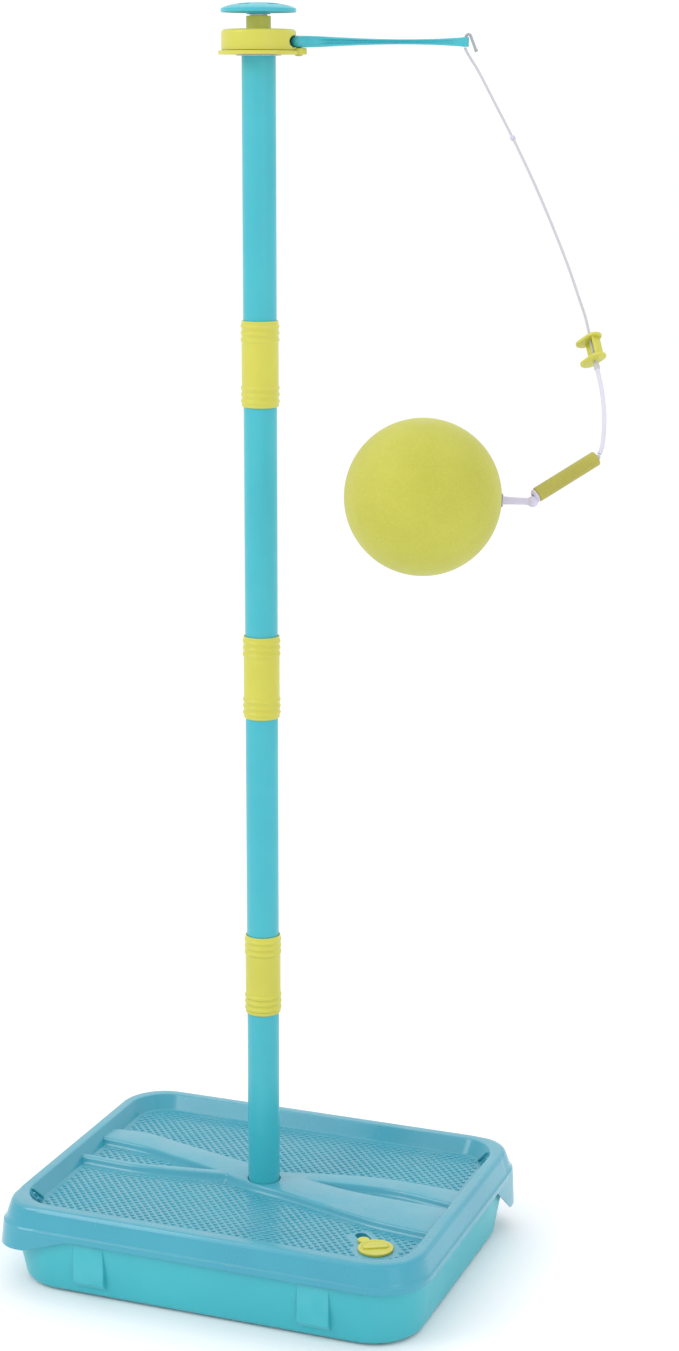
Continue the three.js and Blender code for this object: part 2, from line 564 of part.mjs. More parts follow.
function makeClip() {
  const half = clip.length / 2 - clip.depth / 2;
  const stadium = (z) => {
    const points = [];
    for (let i = 0; i < 20; i += 1) {
      const angle = rad(-90 + (360 * i) / 20);
      const side = i <= 10 ? 1 : -1;
      points.push([side * half + (Math.cos(angle) * clip.depth) / 2, (Math.sin(angle) * clip.depth) / 2]);
    }
    return prism(points, z - clip.flange / 2, z + clip.flange / 2);
  };
  const reach = clip.spacing / 2;
  const back = block(-8, 10, 2.6, 5, -reach, reach);
  const side = block(8, 10.4, -5, 5, -reach, reach);
  const body = join(stadium(-reach), stadium(reach), back, side);
  const axis = lineFall.clone().negate();
  const across = new THREE.Vector3(Math.cos(rad(clip.tilt)), 0, Math.sin(rad(clip.tilt)));
  across.addScaledVector(axis, -across.dot(axis)).normalize().applyAxisAngle(axis, rad(clip.turn));
  const depth = axis.clone().cross(across);
  const turn = new THREE.Matrix4().makeBasis(across, depth, axis);
  body.applyMatrix4(turn).translate(...clip.centre);
  const bore = aim(disc(lineDiameter / 2 + 0.45, -30, 30, 12), lineRoute[10], lineFall.toArray());
  return cut(body, bore);
}

function makeFerrule() {
  const length = 6;
  const shell = lathe([[0, 0], [2.7, 0], [3, 0.8], [3, length - 0.8], [2.7, length], [0, length]], 16);
  const lineBore = disc(lineDiameter / 2 + gap, -1, length / 2 - 0.6, 12);
  const leaderBore = disc(leaderDiameter / 2 + gap, length / 2 + 0.2, length + 1, 12);
  const middle = new THREE.Vector3(...lineRoute[12]).addScaledVector(lineFall, -length / 2 + 1.2);
  return aim(cut(shell, lineBore, leaderBore), middle.toArray(), lineFall.toArray());
}

function makeBead() {
  const direction = between(lineRoute[3], lineRoute[5]).toArray();
  const shell = lathe([[1.8, -2.5], [2.2, -2.5], [2.7, -1], [2.7, 1], [2.2, 2.5], [1.8, 2.5], [1.8, -2.5]], 14);
  return aim(shell, lineRoute[4], direction);
}

function makeTailFerrule() {
  const direction = between(tailRoute.at(-1), tailEnd);
  const length = direction.length();
  const r = tailDiameter / 2;
  const shell = lathe([[0, gap], [r, gap], [r + 0.35, 0.8], [r + 0.35, length - 0.5], [r, length], [0, length]], 12);
  return aim(shell, tailRoute.at(-1), direction.toArray());
}

function makeSleeve() {
  const direction = between(leaderPivot, sleeve.end);
  const length = direction.length();
  const r = sleeve.radius;
  const tube = lathe([[sleeve.bore, 1.6], [r - 2.6, 1.6], [r - 0.8, 2.8], [r, 5], [r, length - 0.9], [r - 0.8, length],
    [sleeve.bore, length], [sleeve.bore, 1.6]], 24);
  const body = aim(tube, leaderPivot, direction.toArray());
  const plugRoom = aim(disc(5, length - 5, length + 1, 20), leaderPivot, direction.toArray());
  return cut(body, ball(leaderPivot, 3.7), plugRoom);
}

function makeSleeveCore() {
  const direction = between(leaderPivot, sleeve.end);
  const length = direction.length();
  return aim(disc(2.2, 4.2, length - 5.4, 12), leaderPivot, direction.toArray());
}

function makeSleevePlug() {
  const direction = between(leaderPivot, sleeve.end);
  const length = direction.length();
  const shell = lathe([[0, length - 4.7], [4.7, length - 4.7], [4.7, length + gap], [6.6, length + gap], [6.6, length + 1.6],
    [5.2, length + 3.4], [2.6, length + 4.4], [0, length + 4.8]], 20);
  const body = aim(shell, leaderPivot, direction.toArray());
  return cut(body, ball(linkPivot, 5.7));
}

function makeBallLink() {
  const direction = between(linkPivot, ballCentre);
  const surface = direction.length() - ballRadius;
  const profile = [[0, -5.3], [2.6, -4.6], [4.6, -2.6], [5.3, 0], [4.8, 2.2], [3.4, 4.1], [3.2, 12], [3.5, surface]];
  profile.push([4, surface + 1], [4, surface + 16.5], [11, surface + 16.5], [11, surface + 19.5], [0, surface + 19.5]);
  return aim(lathe(profile, 16), linkPivot, direction.toArray());
}

function makeBall() {
  const surface = between(linkPivot, ballCentre).length() - ballRadius;
  const middle = surface + ballRadius;
  const arc = (radius, mouth, rows) => {
    const start = Math.asin(mouth / radius);
    return Array.from({ length: rows + 1 }, (_, row) => {
      const angle = start + ((Math.PI - start) * row) / rows;
      const r = row === rows ? 0 : radius * Math.sin(angle);
      return [r, middle - radius * Math.cos(angle)];
    });
  };
  const collarZ = surface + 16.2;
  const inner = arc(ballRadius - ballSkin, 14, 14).toReversed();
  const profile = [...inner, [14, collarZ - 1], [13, collarZ], [4.4, collarZ], ...arc(ballRadius, 4.4, 18)];
  return aim(lathe(profile, 32), linkPivot, between(linkPivot, ballCentre).toArray());
}

function makeTether() {
  const group = new THREE.Group();
  group.rotation.z = rad(headTurn);
  addPart(group, 'line_tail', tubeAlong(tailRoute, tailDiameter, 10), colours.cordGrey, 0.8);
  addPart(group, 'tail_ferrule', makeTailFerrule(), colours.cordGrey, 0.6);
  addPart(group, 'line', tubeAlong(lineRoute, lineDiameter, 44), colours.cordGrey, 0.8);
  addPart(group, 'stop_bead', makeBead(), colours.cordGrey, 0.5);
  addPart(group, 'line_clip', makeClip(), colours.lime);
  addPart(group, 'line_ferrule', makeFerrule(), colours.cordGrey, 0.6);
  addPart(group, 'leader', tubeAlong(leaderRoute, leaderDiameter, 12), colours.cordGrey, 0.8);
  addPart(group, 'leader_knot', ball(leaderPivot, 3.2), colours.white, 0.6);
  addPart(group, 'grip_sleeve', makeSleeve(), colours.lime);
  addPart(group, 'sleeve_core', makeSleeveCore(), colours.cordGrey, 0.8);
  addPart(group, 'sleeve_plug', makeSleevePlug(), colours.white);
  addPart(group, 'ball_link', makeBallLink(), colours.white);
  addPart(group, 'ball', makeBall(), colours.ballLime, 0.85);
  return group;
}

const tetherballSet = new THREE.Group();
tetherballSet.add(makeBase(), makePole(), makeHead(), makeTether());

export default tetherballSet;
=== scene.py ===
import math

import bmesh
import bpy
from mathutils import Matrix, Vector


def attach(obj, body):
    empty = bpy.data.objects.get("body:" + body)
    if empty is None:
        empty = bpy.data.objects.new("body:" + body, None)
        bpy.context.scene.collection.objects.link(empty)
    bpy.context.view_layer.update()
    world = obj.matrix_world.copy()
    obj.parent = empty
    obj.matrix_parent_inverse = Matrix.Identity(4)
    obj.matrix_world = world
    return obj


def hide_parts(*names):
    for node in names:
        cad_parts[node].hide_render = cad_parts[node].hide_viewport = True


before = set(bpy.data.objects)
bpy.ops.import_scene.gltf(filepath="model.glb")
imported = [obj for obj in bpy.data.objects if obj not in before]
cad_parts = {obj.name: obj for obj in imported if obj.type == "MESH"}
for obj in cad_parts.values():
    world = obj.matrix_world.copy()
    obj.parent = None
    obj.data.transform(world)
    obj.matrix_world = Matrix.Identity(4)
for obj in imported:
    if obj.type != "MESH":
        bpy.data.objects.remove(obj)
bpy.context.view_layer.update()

mm = 0.001
headSpin = Matrix.Rotation(math.radians(20.8), 4, "Z")   # the arm's direction at rest
print("frame loaded:", len(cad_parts), "CAD nodes")


# --- mesh tools; profiles and outlines are in millimetres, finished meshes in metres

def meshObject(name, verts, faces, scale=mm):
    mesh = bpy.data.meshes.new(name)
    mesh.from_pydata([tuple(scale * c for c in v) for v in verts], [], faces)
    mesh.validate()
    obj = bpy.data.objects.new(name, mesh)
    bpy.context.scene.collection.objects.link(obj)
    return obj


def faceOutward(obj):
    work = bmesh.new()
    work.from_mesh(obj.data)
    bmesh.ops.recalc_face_normals(work, faces=work.faces)
    work.to_mesh(obj.data)
    work.free()
    return obj


def settle(obj):
    # turns the modifiers' result into the mesh itself
    graph = bpy.context.evaluated_depsgraph_get()
    mesh = bpy.data.meshes.new_from_object(obj.evaluated_get(graph))
    obj.modifiers.clear()
    obj.data = mesh
    return obj


def combine(target, tools, operation):
    for tool in tools:
        modifier = target.modifiers.new("shape", "BOOLEAN")
        modifier.operation = operation
        modifier.solver = "EXACT"
        modifier.object = tool
        settle(target)
        bpy.data.objects.remove(tool)
    return target


def cutAway(target, *tools):
    return combine(target, tools, "DIFFERENCE")


def fuse(target, *tools):
    return combine(target, tools, "UNION")


def gather(target, *others):
    # puts several meshes into one piece without a boolean
    work = bmesh.new()
    work.from_mesh(target.data)
    for other in others:
        work.from_mesh(other.data)
        bpy.data.objects.remove(other)
    work.to_mesh(target.data)
    work.free()
    return target


def softEdges(obj, width, segments=3, angle=35):
    modifier = obj.modifiers.new("soft", "BEVEL")
    modifier.width = width * mm
    modifier.segments = segments
    modifier.limit_method = "ANGLE"
    modifier.angle_limit = math.radians(angle)
    return settle(obj)


def smooth(obj, angle=32):
    for face in obj.data.polygons:
        face.use_smooth = True
    obj.data.set_sharp_from_angle(angle=math.radians(angle))
    return obj


def moved(obj, matrix):
    obj.data.transform(matrix)
    return obj


def shift(x=0.0, y=0.0, z=0.0):
    return Matrix.Translation((x * mm, y * mm, z * mm))


def turnAbout(axis, degrees):
    return Matrix.Rotation(math.radians(degrees), 4, axis)


def rounded(points, closed=False, steps=4):
    # points are (r, z) or (r, z, fillet); each fillet becomes a short arc
    result = []
    count = len(points)
    for i, point in enumerate(points):
        here = Vector(point[:2])
        radius = point[2] if len(point) > 2 else 0
        if radius <= 0 or (not closed and i in (0, count - 1)):
            result.append(tuple(here))
            continue
        before = Vector(points[i - 1][:2]) - here
        after = Vector(points[(i + 1) % count][:2]) - here
        angle = before.angle(after)
        if angle > math.pi - 0.05:
            result.append(tuple(here))
            continue
        reach = min(radius / math.tan(angle / 2), 0.48 * before.length, 0.48 * after.length)
        start = here + before.normalized() * reach
        end = here + after.normalized() * reach
        for step in range(steps + 1):
            t = step / steps
            result.append(tuple((1 - t) ** 2 * start + 2 * t * (1 - t) * here + t * t * end))
    return result


def lathe(name, points, segments=72, closed=False, steps=4):
    # spins a profile about Z; an open profile starts and ends on the axis
    profile = rounded(points, closed, steps)
    verts, rings = [], []
    for r, z in profile:
        if r < 1e-6:
            rings.append([len(verts)])
            verts.append((0, 0, z))
            continue
        rings.append([len(verts) + i for i in range(segments)])
        for i in range(segments):
            angle = 2 * math.pi * i / segments
            verts.append((r * math.cos(angle), r * math.sin(angle), z))
    faces = []
    pairs = list(zip(rings, rings[1:]))
    if closed:
        pairs.append((rings[-1], rings[0]))
    for low, high in pairs:
        for i in range(segments):
            j = (i + 1) % segments
            if len(low) == 1 and len(high) == 1:
                continue
            if len(low) == 1:
                faces.append((low[0], high[j], high[i]))
            elif len(high) == 1:
                faces.append((low[i], low[j], high[0]))
            else:
                faces.append((low[i], low[j], high[j], high[i]))
    return faceOutward(meshObject(name, verts, faces))


def roundedLoop(halfX, halfY, radius, z, steps=14):
    loop = []
    for signX, signY, begin in ((1, 1, 0), (-1, 1, 90), (-1, -1, 180), (1, -1, 270)):
        for step in range(steps + 1):
            angle = math.radians(begin + 90 * step / steps)
            x = signX * (halfX - radius) + radius * math.cos(angle)
            y = signY * (halfY - radius) + radius * math.sin(angle)
            loop.append((x, y, z))
    return loop


def loft(name, loops, ringed=False):
    # skins loops of equal length; capped at both ends, or joined round when ringed
    count = len(loops[0])
    verts = [point for loop in loops for point in loop]
    faces = []
    rows = len(loops)
    for row in range(rows if ringed else rows - 1):
        above = (row + 1) % rows
        for i in range(count):
            j = (i + 1) % count
            faces.append((row * count + i, row * count + j, above * count + j, above * count + i))
    if not ringed:
        faces.append(tuple(range(count))[::-1])
        faces.append(tuple((rows - 1) * count + i for i in range(count)))
    return faceOutward(meshObject(name, verts, faces))


def prism(name, outline, low, high):
    return loft(name, [[(x, y, low) for x, y in outline], [(x, y, high) for x, y in outline]])


def oval(lengthX, lengthY, steps=40):
    angles = [2 * math.pi * i / steps for i in range(steps)]
    return [(lengthX / 2 * math.cos(angle), lengthY / 2 * math.sin(angle)) for angle in angles]


def capsule(length, depth, steps=14):
    # a rectangle with fully round ends
    reach = (length - depth) / 2
    outline = []
    for centre, begin in ((reach, -90), (-reach, 90)):
        for i in range(steps + 1):
            angle = math.radians(begin + 180 * i / steps)
            outline.append((centre + depth / 2 * math.cos(angle), depth / 2 * math.sin(angle)))
    return outline


def box(name, low, high):
    outline = [(low[0], low[1]), (high[0], low[1]), (high[0], high[1]), (low[0], high[1])]
    return prism(name, outline, low[2], high[2])


def aim(obj, origin, direction):
    # stands a piece made along +Z on a point, turned to a direction
    turn = Vector((0, 0, 1)).rotation_difference(Vector(direction).normalized()).to_matrix().to_4x4()
    return moved(obj, Matrix.Translation(Vector(origin) * mm) @ turn)


def curveThrough(points, steps):
    # centripetal spline through the points, as a list of Vectors
    pts = [Vector(p) for p in points]
    pts = [2 * pts[0] - pts[1]] + pts + [2 * pts[-1] - pts[-2]]
    result = []
    for i in range(1, len(pts) - 2):
        a, b, c, d = pts[i - 1:i + 3]
        t0 = 0.0
        t1 = t0 + math.sqrt((b - a).length)
        t2 = t1 + math.sqrt((c - b).length)
        t3 = t2 + math.sqrt((d - c).length)
        for step in range(steps):
            t = t1 + (t2 - t1) * step / steps
            ab = a.lerp(b, (t - t0) / (t1 - t0))
            bc = b.lerp(c, (t - t1) / (t2 - t1))
            cd = c.lerp(d, (t - t2) / (t3 - t2))
            abc = ab.lerp(bc, (t - t0) / (t2 - t0))
            bcd = bc.lerp(cd, (t - t1) / (t3 - t1))
            result.append(abc.lerp(bcd, (t - t1) / (t2 - t1)))
    result.append(pts[-2])
    return result


def routeLength(points):
    return sum((b - a).length for a, b in zip(points, points[1:]))


def evenly(points, spacing):
    # the same route with points at an even spacing
    total = routeLength(points)
    count = max(2, round(total / spacing))
    result, walked, i = [points[0]], 0.0, 0
    for k in range(1, count):
        goal = total * k / count
        while walked + (points[i + 1] - points[i]).length < goal:
            walked += (points[i + 1] - points[i]).length
            i += 1
        part = (goal - walked) / (points[i + 1] - points[i]).length
        result.append(points[i].lerp(points[i + 1], part))
    result.append(points[-1])
    return result


def cordMesh(name, points, diameter, lobes, lay, depth, sides=18):
    # a laid cord: strands twist round the route once every lay millimetres
    verts, faces = [], []
    tangent = (points[1] - points[0]).normalized()
    side = tangent.orthogonal().normalized()
    walked = 0.0
    for i, point in enumerate(points):
        ahead = points[min(i + 1, len(points) - 1)]
        behind = points[max(i - 1, 0)]
        new = (ahead - behind).normalized()
        side = (tangent.rotation_difference(new) @ side).normalized()
        tangent = new
        across = tangent.cross(side)
        if i:
            walked += (point - points[i - 1]).length
        for k in range(sides):
            angle = 2 * math.pi * k / sides
            strand = abs(math.cos(0.5 * lobes * (angle - 2 * math.pi * walked / lay)))
            r = diameter / 2 * (1 - depth + depth * strand)
            verts.append(tuple(point + side * r * math.cos(angle) + across * r * math.sin(angle)))
    for i in range(len(points) - 1):
        for k in range(sides):
            j = (k + 1) % sides
            faces.append((i * sides + k, i * sides + j, (i + 1) * sides + j, (i + 1) * sides + k))
    faces.append(tuple(range(sides))[::-1])
    faces.append(tuple((len(points) - 1) * sides + k for k in range(sides)))
    return smooth(faceOutward(meshObject(name, verts, faces)), 60)


# --- camera

cameraSettings = {
    "azimuth": 20.76,
    "pitch": 12.83,
    "roll": 0.12,
    "place": (1.0286, -2.4781, 1.2772),
    "lens": 68.35,
    "sensor": 36.0,
}


def addCamera(settings):
    data = bpy.data.cameras.new("camera")
    data.lens = settings["lens"]
    data.sensor_width = settings["sensor"]
    data.clip_end = 300
    camera = bpy.data.objects.new("camera", data)
    turn = turnAbout("Z", settings["azimuth"])
    tilt = turnAbout("X", 90 - settings["pitch"])
    roll = turnAbout("Z", settings["roll"])
    camera.matrix_world = Matrix.Translation(settings["place"]) @ turn @ tilt @ roll
    bpy.context.scene.collection.objects.link(camera)
    bpy.context.scene.camera = camera


addCamera(cameraSettings)


# --- shader groups

def rgb(red, green, blue):
    # display values 0 to 255 turned to scene colour
    def one(value):
        value /= 255
        return value / 12.92 if value <= 0.04045 else ((value + 0.055) / 1.055) ** 2.4
    return (one(red), one(green), one(blue), 1.0)


def addNode(tree, kind, inputs=None, **settings):
    node = tree.nodes.new(kind)
    for key, value in settings.items():
        setattr(node, key, value)
    for key, value in (inputs or {}).items():
        if isinstance(value, bpy.types.NodeSocket):
            tree.links.new(value, node.inputs[key])
        else:
            node.inputs[key].default_value = value
    return node


def reckon(tree, operation, first, second=0.5, clamp=False):
    node = addNode(tree, "ShaderNodeMath", {0: first, 1: second}, operation=operation)
    node.use_clamp = clamp
    return node.outputs[0]


def spread(tree, value, low, high, newLow=0.0, newHigh=1.0):
    inputs = {"Value": value, "From Min": low, "From Max": high, "To Min": newLow, "To Max": newHigh}
    return addNode(tree, "ShaderNodeMapRange", inputs).outputs[0]


def tint(tree, amount, first, second):
    node = addNode(tree, "ShaderNodeMix", data_type="RGBA")
    for socket, value in ((node.inputs[0], amount), (node.inputs[6], first), (node.inputs[7], second)):
        if isinstance(value, bpy.types.NodeSocket):
            tree.links.new(value, socket)
        else:
            socket.default_value = value
    return node.outputs[2]


def newGroup(name, inputs, outputs):
    group = bpy.data.node_groups.new(name, "ShaderNodeTree")
    for label, value in inputs.items():
        socket = group.interface.new_socket(label, in_out="INPUT", socket_type="NodeSocketFloat")
        socket.default_value = value
    for label in outputs:
        group.interface.new_socket(label, in_out="OUTPUT", socket_type="NodeSocketFloat")
    start = group.nodes.new("NodeGroupInput")
    end = group.nodes.new("NodeGroupOutput")
    return group, start, end


def objectPlace(tree):
    return addNode(tree, "ShaderNodeTexCoord").outputs["Object"]


def pointiness(tree):
    return addNode(tree, "ShaderNodeNewGeometry").outputs["Pointiness"]


def noise(tree, place, scale, detail, roughness=0.5):
    inputs = {"Vector": place, "Scale": scale, "Detail": detail, "Roughness": roughness}
    return addNode(tree, "ShaderNodeTexNoise", inputs).outputs[0]


def stretched(tree, place, scale, rotation=(0.0, 0.0, 0.0)):
    inputs = {"Vector": place, "Scale": scale, "Rotation": rotation}
    return addNode(tree, "ShaderNodeMapping", inputs).outputs[0]


def scaledMask(group, mask, start, end):
    # the mask times the group's one input, as the group's one output
    group.links.new(reckon(group, "MULTIPLY", mask, start.outputs[0], True), end.inputs["Mask"])
    return group


def makeMouldGrain():
    # fine spark-eroded grain over slow waves, as on moulded plastic
    group, start, end = newGroup("mouldGrain", {"Grains per metre": 900, "Wave": 0.35}, ["Height", "Cloud"])
    place = objectPlace(group)
    fine = noise(group, place, start.outputs[0], 3.0)
    wave = reckon(group, "MULTIPLY", noise(group, place, 26.0, 2.0), start.outputs[1])
    cloud = noise(group, place, 7.0, 4.0, 0.6)
    group.links.new(reckon(group, "ADD", fine, wave), end.inputs["Height"])
    group.links.new(spread(group, cloud, 0.32, 0.68), end.inputs["Cloud"])
    return group


def makeEdgeWear():
    # rubbed convex edges, broken up so they don't read as an outline
    group, start, end = newGroup("edgeWear", {"Reach": 0.5}, ["Mask"])
    sharp = spread(group, pointiness(group), 0.515, 0.6)
    patch = spread(group, noise(group, objectPlace(group), 42.0, 5.0), 0.35, 0.65)
    return scaledMask(group, reckon(group, "MULTIPLY", sharp, patch), start, end)


def makeScuffs():
    # short fine scratches in two directions
    group, start, end = newGroup("scuffs", {"Amount": 0.5}, ["Mask"])
    place = objectPlace(group)
    masks = []
    for scale, turn in (((220, 9, 60), 0.5), ((12, 260, 70), -0.35)):
        streaks = noise(group, stretched(group, place, scale, (0.2, 0.1, turn)), 1.0, 2.0)
        masks.append(spread(group, streaks, 0.66, 0.76))
    both = reckon(group, "MAXIMUM", *masks)
    patch = spread(group, noise(group, place, 11.0, 2.0), 0.45, 0.7)
    return scaledMask(group, reckon(group, "MULTIPLY", both, patch), start, end)


def makeDust():
    # a thin film on faces that look up
    group, start, end = newGroup("settledDust", {"Amount": 0.3}, ["Mask"])
    normal = addNode(group, "ShaderNodeNewGeometry").outputs["Normal"]
    upward = addNode(group, "ShaderNodeSeparateXYZ", {0: normal}).outputs[2]
    patch = spread(group, noise(group, objectPlace(group), 15.0, 6.0, 0.65), 0.3, 0.75)
    return scaledMask(group, reckon(group, "MULTIPLY", spread(group, upward, 0.6, 1.0), patch), start, end)


dustColour = rgb(206, 208, 200)
soilColour = rgb(168, 164, 156)
grainGroup = makeMouldGrain()
wearGroup = makeEdgeWear()
scuffGroup = makeScuffs()
dustGroup = makeDust()


def useGroup(tree, group, **values):
    node = tree.nodes.new("ShaderNodeGroup")
    node.node_tree = group
    for key, value in values.items():
        node.inputs[key.replace("_", " ")].default_value = value
    return node


def newMaterial(name):
    material = bpy.data.materials.new(name)
    material.use_nodes = True
    tree = material.node_tree
    return material, tree, tree.nodes["Principled BSDF"]


def setInputs(shader, values):
    for key, value in values.items():
        shader.inputs[key].default_value = value


def joinInputs(tree, shader, sockets):
    for key, socket in sockets.items():
        tree.links.new(socket, shader.inputs[key])


def bumpFrom(tree, height, strength, distance):
    inputs = {"Height": height, "Strength": strength, "Distance": distance}
    return addNode(tree, "ShaderNodeBump", inputs).outputs[0]


def mouldedPlastic(name, look):
    # look: colour, deep and worn shades, gloss figures and how much of each effect
    material, tree, shader = newMaterial(name)
    grain = useGroup(tree, grainGroup, Grains_per_metre=look.get("grains", 900))
    wear = useGroup(tree, wearGroup, Reach=look["wear"]).outputs[0]
    scuff = useGroup(tree, scuffGroup, Amount=look["scuff"]).outputs[0]
    dust = useGroup(tree, dustGroup, Amount=look["dust"]).outputs[0]
    body = tint(tree, grain.outputs["Cloud"], look["colour"], look["deep"])
    body = tint(tree, wear, body, look["worn"])
    body = tint(tree, dust, body, dustColour)
    gloss = spread(tree, grain.outputs["Cloud"], 0, 1, look["rough"] - 0.04, look["rough"] + 0.05)
    gloss = reckon(tree, "ADD", gloss, reckon(tree, "MULTIPLY", scuff, 0.22))
    gloss = reckon(tree, "ADD", gloss, reckon(tree, "MULTIPLY", dust, 0.3), True)
    height = reckon(tree, "SUBTRACT", grain.outputs["Height"], reckon(tree, "MULTIPLY", scuff, 0.8))
    bump = bumpFrom(tree, height, look["bump"], 0.0004)
    joinInputs(tree, shader, {"Base Color": body, "Roughness": gloss, "Normal": bump})
    setInputs(shader, {
        "Coat Weight": look.get("coat", 0.0), "Coat Roughness": 0.12,
        "Subsurface Weight": look.get("glow", 0.0), "Subsurface Scale": 0.004,
    })
    return material


def cordFibre(name, colour, deep, strandsPerMetre):
    # fuzzy twisted yarn; the grooves between strands are painted darker, towards the deep colour, as painted
    # shade, and fibre noise adds random tone on the strands
    material, tree, shader = newMaterial(name)
    place = objectPlace(tree)
    fibre = noise(tree, place, strandsPerMetre, 4.0)
    soil = spread(tree, noise(tree, place, 24.0, 3.0), 0.5, 0.8, 0.0, 0.25)
    # painted shade: where pointiness is low, in the grooves between strands and where the cord crosses
    # itself, the colour goes to the deep colour
    edge = spread(tree, pointiness(tree), 0.42, 0.52)
    shade = reckon(tree, "MULTIPLY", edge, spread(tree, fibre, 0.3, 0.7, 0.7, 1.0))
    body = tint(tree, soil, tint(tree, shade, deep, colour), soilColour)
    gloss = spread(tree, fibre, 0.3, 0.7, 0.62, 0.85)
    bump = bumpFrom(tree, fibre, 0.5, 0.0002)
    joinInputs(tree, shader, {"Base Color": body, "Roughness": gloss, "Normal": bump})
    setInputs(shader, {"Sheen Weight": 0.3})
    return material


def softFoam(name, look):
    # a fine-celled matte skin
    material, tree, shader = newMaterial(name)
    place = objectPlace(tree)
    inputs = {"Vector": place, "Scale": look["cells"]}
    cells = addNode(tree, "ShaderNodeTexVoronoi", inputs).outputs["Distance"]
    rough = noise(tree, place, look["cells"] * 2.2, 3.0)
    grime = noise(tree, place, 16.0, 5.0, 0.62)
    scuff = useGroup(tree, scuffGroup, Amount=look["scuff"]).outputs[0]
    body = tint(tree, spread(tree, grime, 0.35, 0.7), look["colour"], look["deep"])
    body = tint(tree, spread(tree, cells, 0.0, 0.7, 0.0, 0.22), body, look["worn"])
    body = tint(tree, reckon(tree, "MULTIPLY", scuff, 0.5), body, look["worn"])
    gloss = spread(tree, grime, 0.3, 0.7, look["rough"] - 0.06, look["rough"] + 0.06)
    height = reckon(tree, "ADD", cells, reckon(tree, "MULTIPLY", rough, 0.6))
    bump = bumpFrom(tree, height, look["bump"], 0.0006)
    joinInputs(tree, shader, {"Base Color": body, "Roughness": gloss, "Normal": bump})
    setInputs(shader, {"Sheen Weight": 0.15, "Specular IOR Level": 0.35})
    return material


def turnedSteel(name):
    material, tree, shader = newMaterial(name)
    lines = noise(tree, stretched(tree, objectPlace(tree), (40, 40, 2600)), 1.0, 4.0)
    wear = useGroup(tree, wearGroup, Reach=0.6).outputs[0]
    body = tint(tree, lines, rgb(150, 154, 160), rgb(186, 190, 194))
    body = tint(tree, wear, body, rgb(214, 216, 218))
    gloss = spread(tree, lines, 0.3, 0.7, 0.24, 0.42)
    bump = bumpFrom(tree, lines, 0.15, 0.0002)
    joinInputs(tree, shader, {"Base Color": body, "Roughness": gloss, "Normal": bump})
    setInputs(shader, {"Metallic": 1.0})
    return material


limeLook = {
    "colour": rgb(204, 201, 80), "deep": rgb(194, 190, 68), "worn": rgb(228, 226, 120),
    "rough": 0.34, "wear": 0.35, "scuff": 0.4, "dust": 0.05, "bump": 0.1, "glow": 0.08,
}
tealLook = {
    "colour": rgb(62, 179, 191), "deep": rgb(54, 170, 184), "worn": rgb(128, 208, 220),
    "rough": 0.33, "wear": 0.35, "scuff": 0.45, "dust": 0.03, "bump": 0.08, "glow": 0.06,
}
tubLook = {
    "colour": rgb(60, 177, 188), "deep": rgb(54, 169, 181), "worn": rgb(130, 212, 222),
    "rough": 0.36, "wear": 0.45, "scuff": 0.7, "dust": 0.08, "bump": 0.12, "glow": 0.06,
}
deckLook = {
    "colour": rgb(56, 158, 178), "deep": rgb(50, 150, 172), "worn": rgb(124, 194, 210),
    "rough": 0.24, "wear": 0.28, "scuff": 0.4, "dust": 0.16, "bump": 0.08, "coat": 0.35,
}
whiteLook = {
    "colour": rgb(204, 198, 218), "deep": rgb(194, 188, 208), "worn": rgb(222, 218, 232),
    "rough": 0.38, "wear": 0.3, "scuff": 0.4, "dust": 0.05, "bump": 0.1, "glow": 0.1,
}
blackLook = {
    "colour": rgb(42, 45, 50), "deep": rgb(34, 37, 42), "worn": rgb(84, 86, 90),
    "rough": 0.72, "wear": 0.6, "scuff": 0.6, "dust": 0.2, "bump": 0.4, "grains": 1500,
}
ballLook = {
    "colour": rgb(182, 181, 66), "deep": rgb(172, 171, 56), "worn": rgb(214, 212, 104),
    "rough": 0.7, "cells": 700.0, "bump": 0.22, "scuff": 0.5,
}
gripLook = {
    "colour": rgb(164, 156, 58), "deep": rgb(150, 142, 50), "worn": rgb(214, 210, 116),
    "rough": 0.6, "cells": 1100.0, "bump": 0.2, "scuff": 0.4,
}

materials = {
    "lime": mouldedPlastic("limePlastic", limeLook),
    "pole": mouldedPlastic("tealPoleTube", tealLook),
    "tub": mouldedPlastic("tealTub", tubLook),
    "deck": mouldedPlastic("blueDeck", deckLook),
    "white": mouldedPlastic("pearlPlastic", whiteLook),
    "rubber": mouldedPlastic("blackRubber", blackLook),
    "ball": softFoam("foamBallSkin", ballLook),
    "grip": softFoam("foamGrip", gripLook),
    # each yarn's second colour is the painted shade for its strand grooves, and partly random fibre tone
    "cord": cordFibre("lineYarn", rgb(198, 198, 202), rgb(138, 138, 146), 5200.0),
    "leader": cordFibre("leaderYarn", rgb(220, 216, 230), rgb(156, 152, 168), 4200.0),
    "tail": cordFibre("tailYarn", rgb(168, 170, 174), rgb(104, 106, 112), 5200.0),
    "steel": turnedSteel("turnedSteel"),
}
print("materials made:", len(materials))


def finishPiece(obj, material, body, nodes=(), angle=32, reshade=True):
    obj.data.materials.clear()
    obj.data.materials.append(materials[material])
    if reshade:
        smooth(obj, angle)
    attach(obj, body)
    if nodes:
        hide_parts(*nodes)
    return obj


# --- the line and what is on it; routes are in the head's axes, in metres

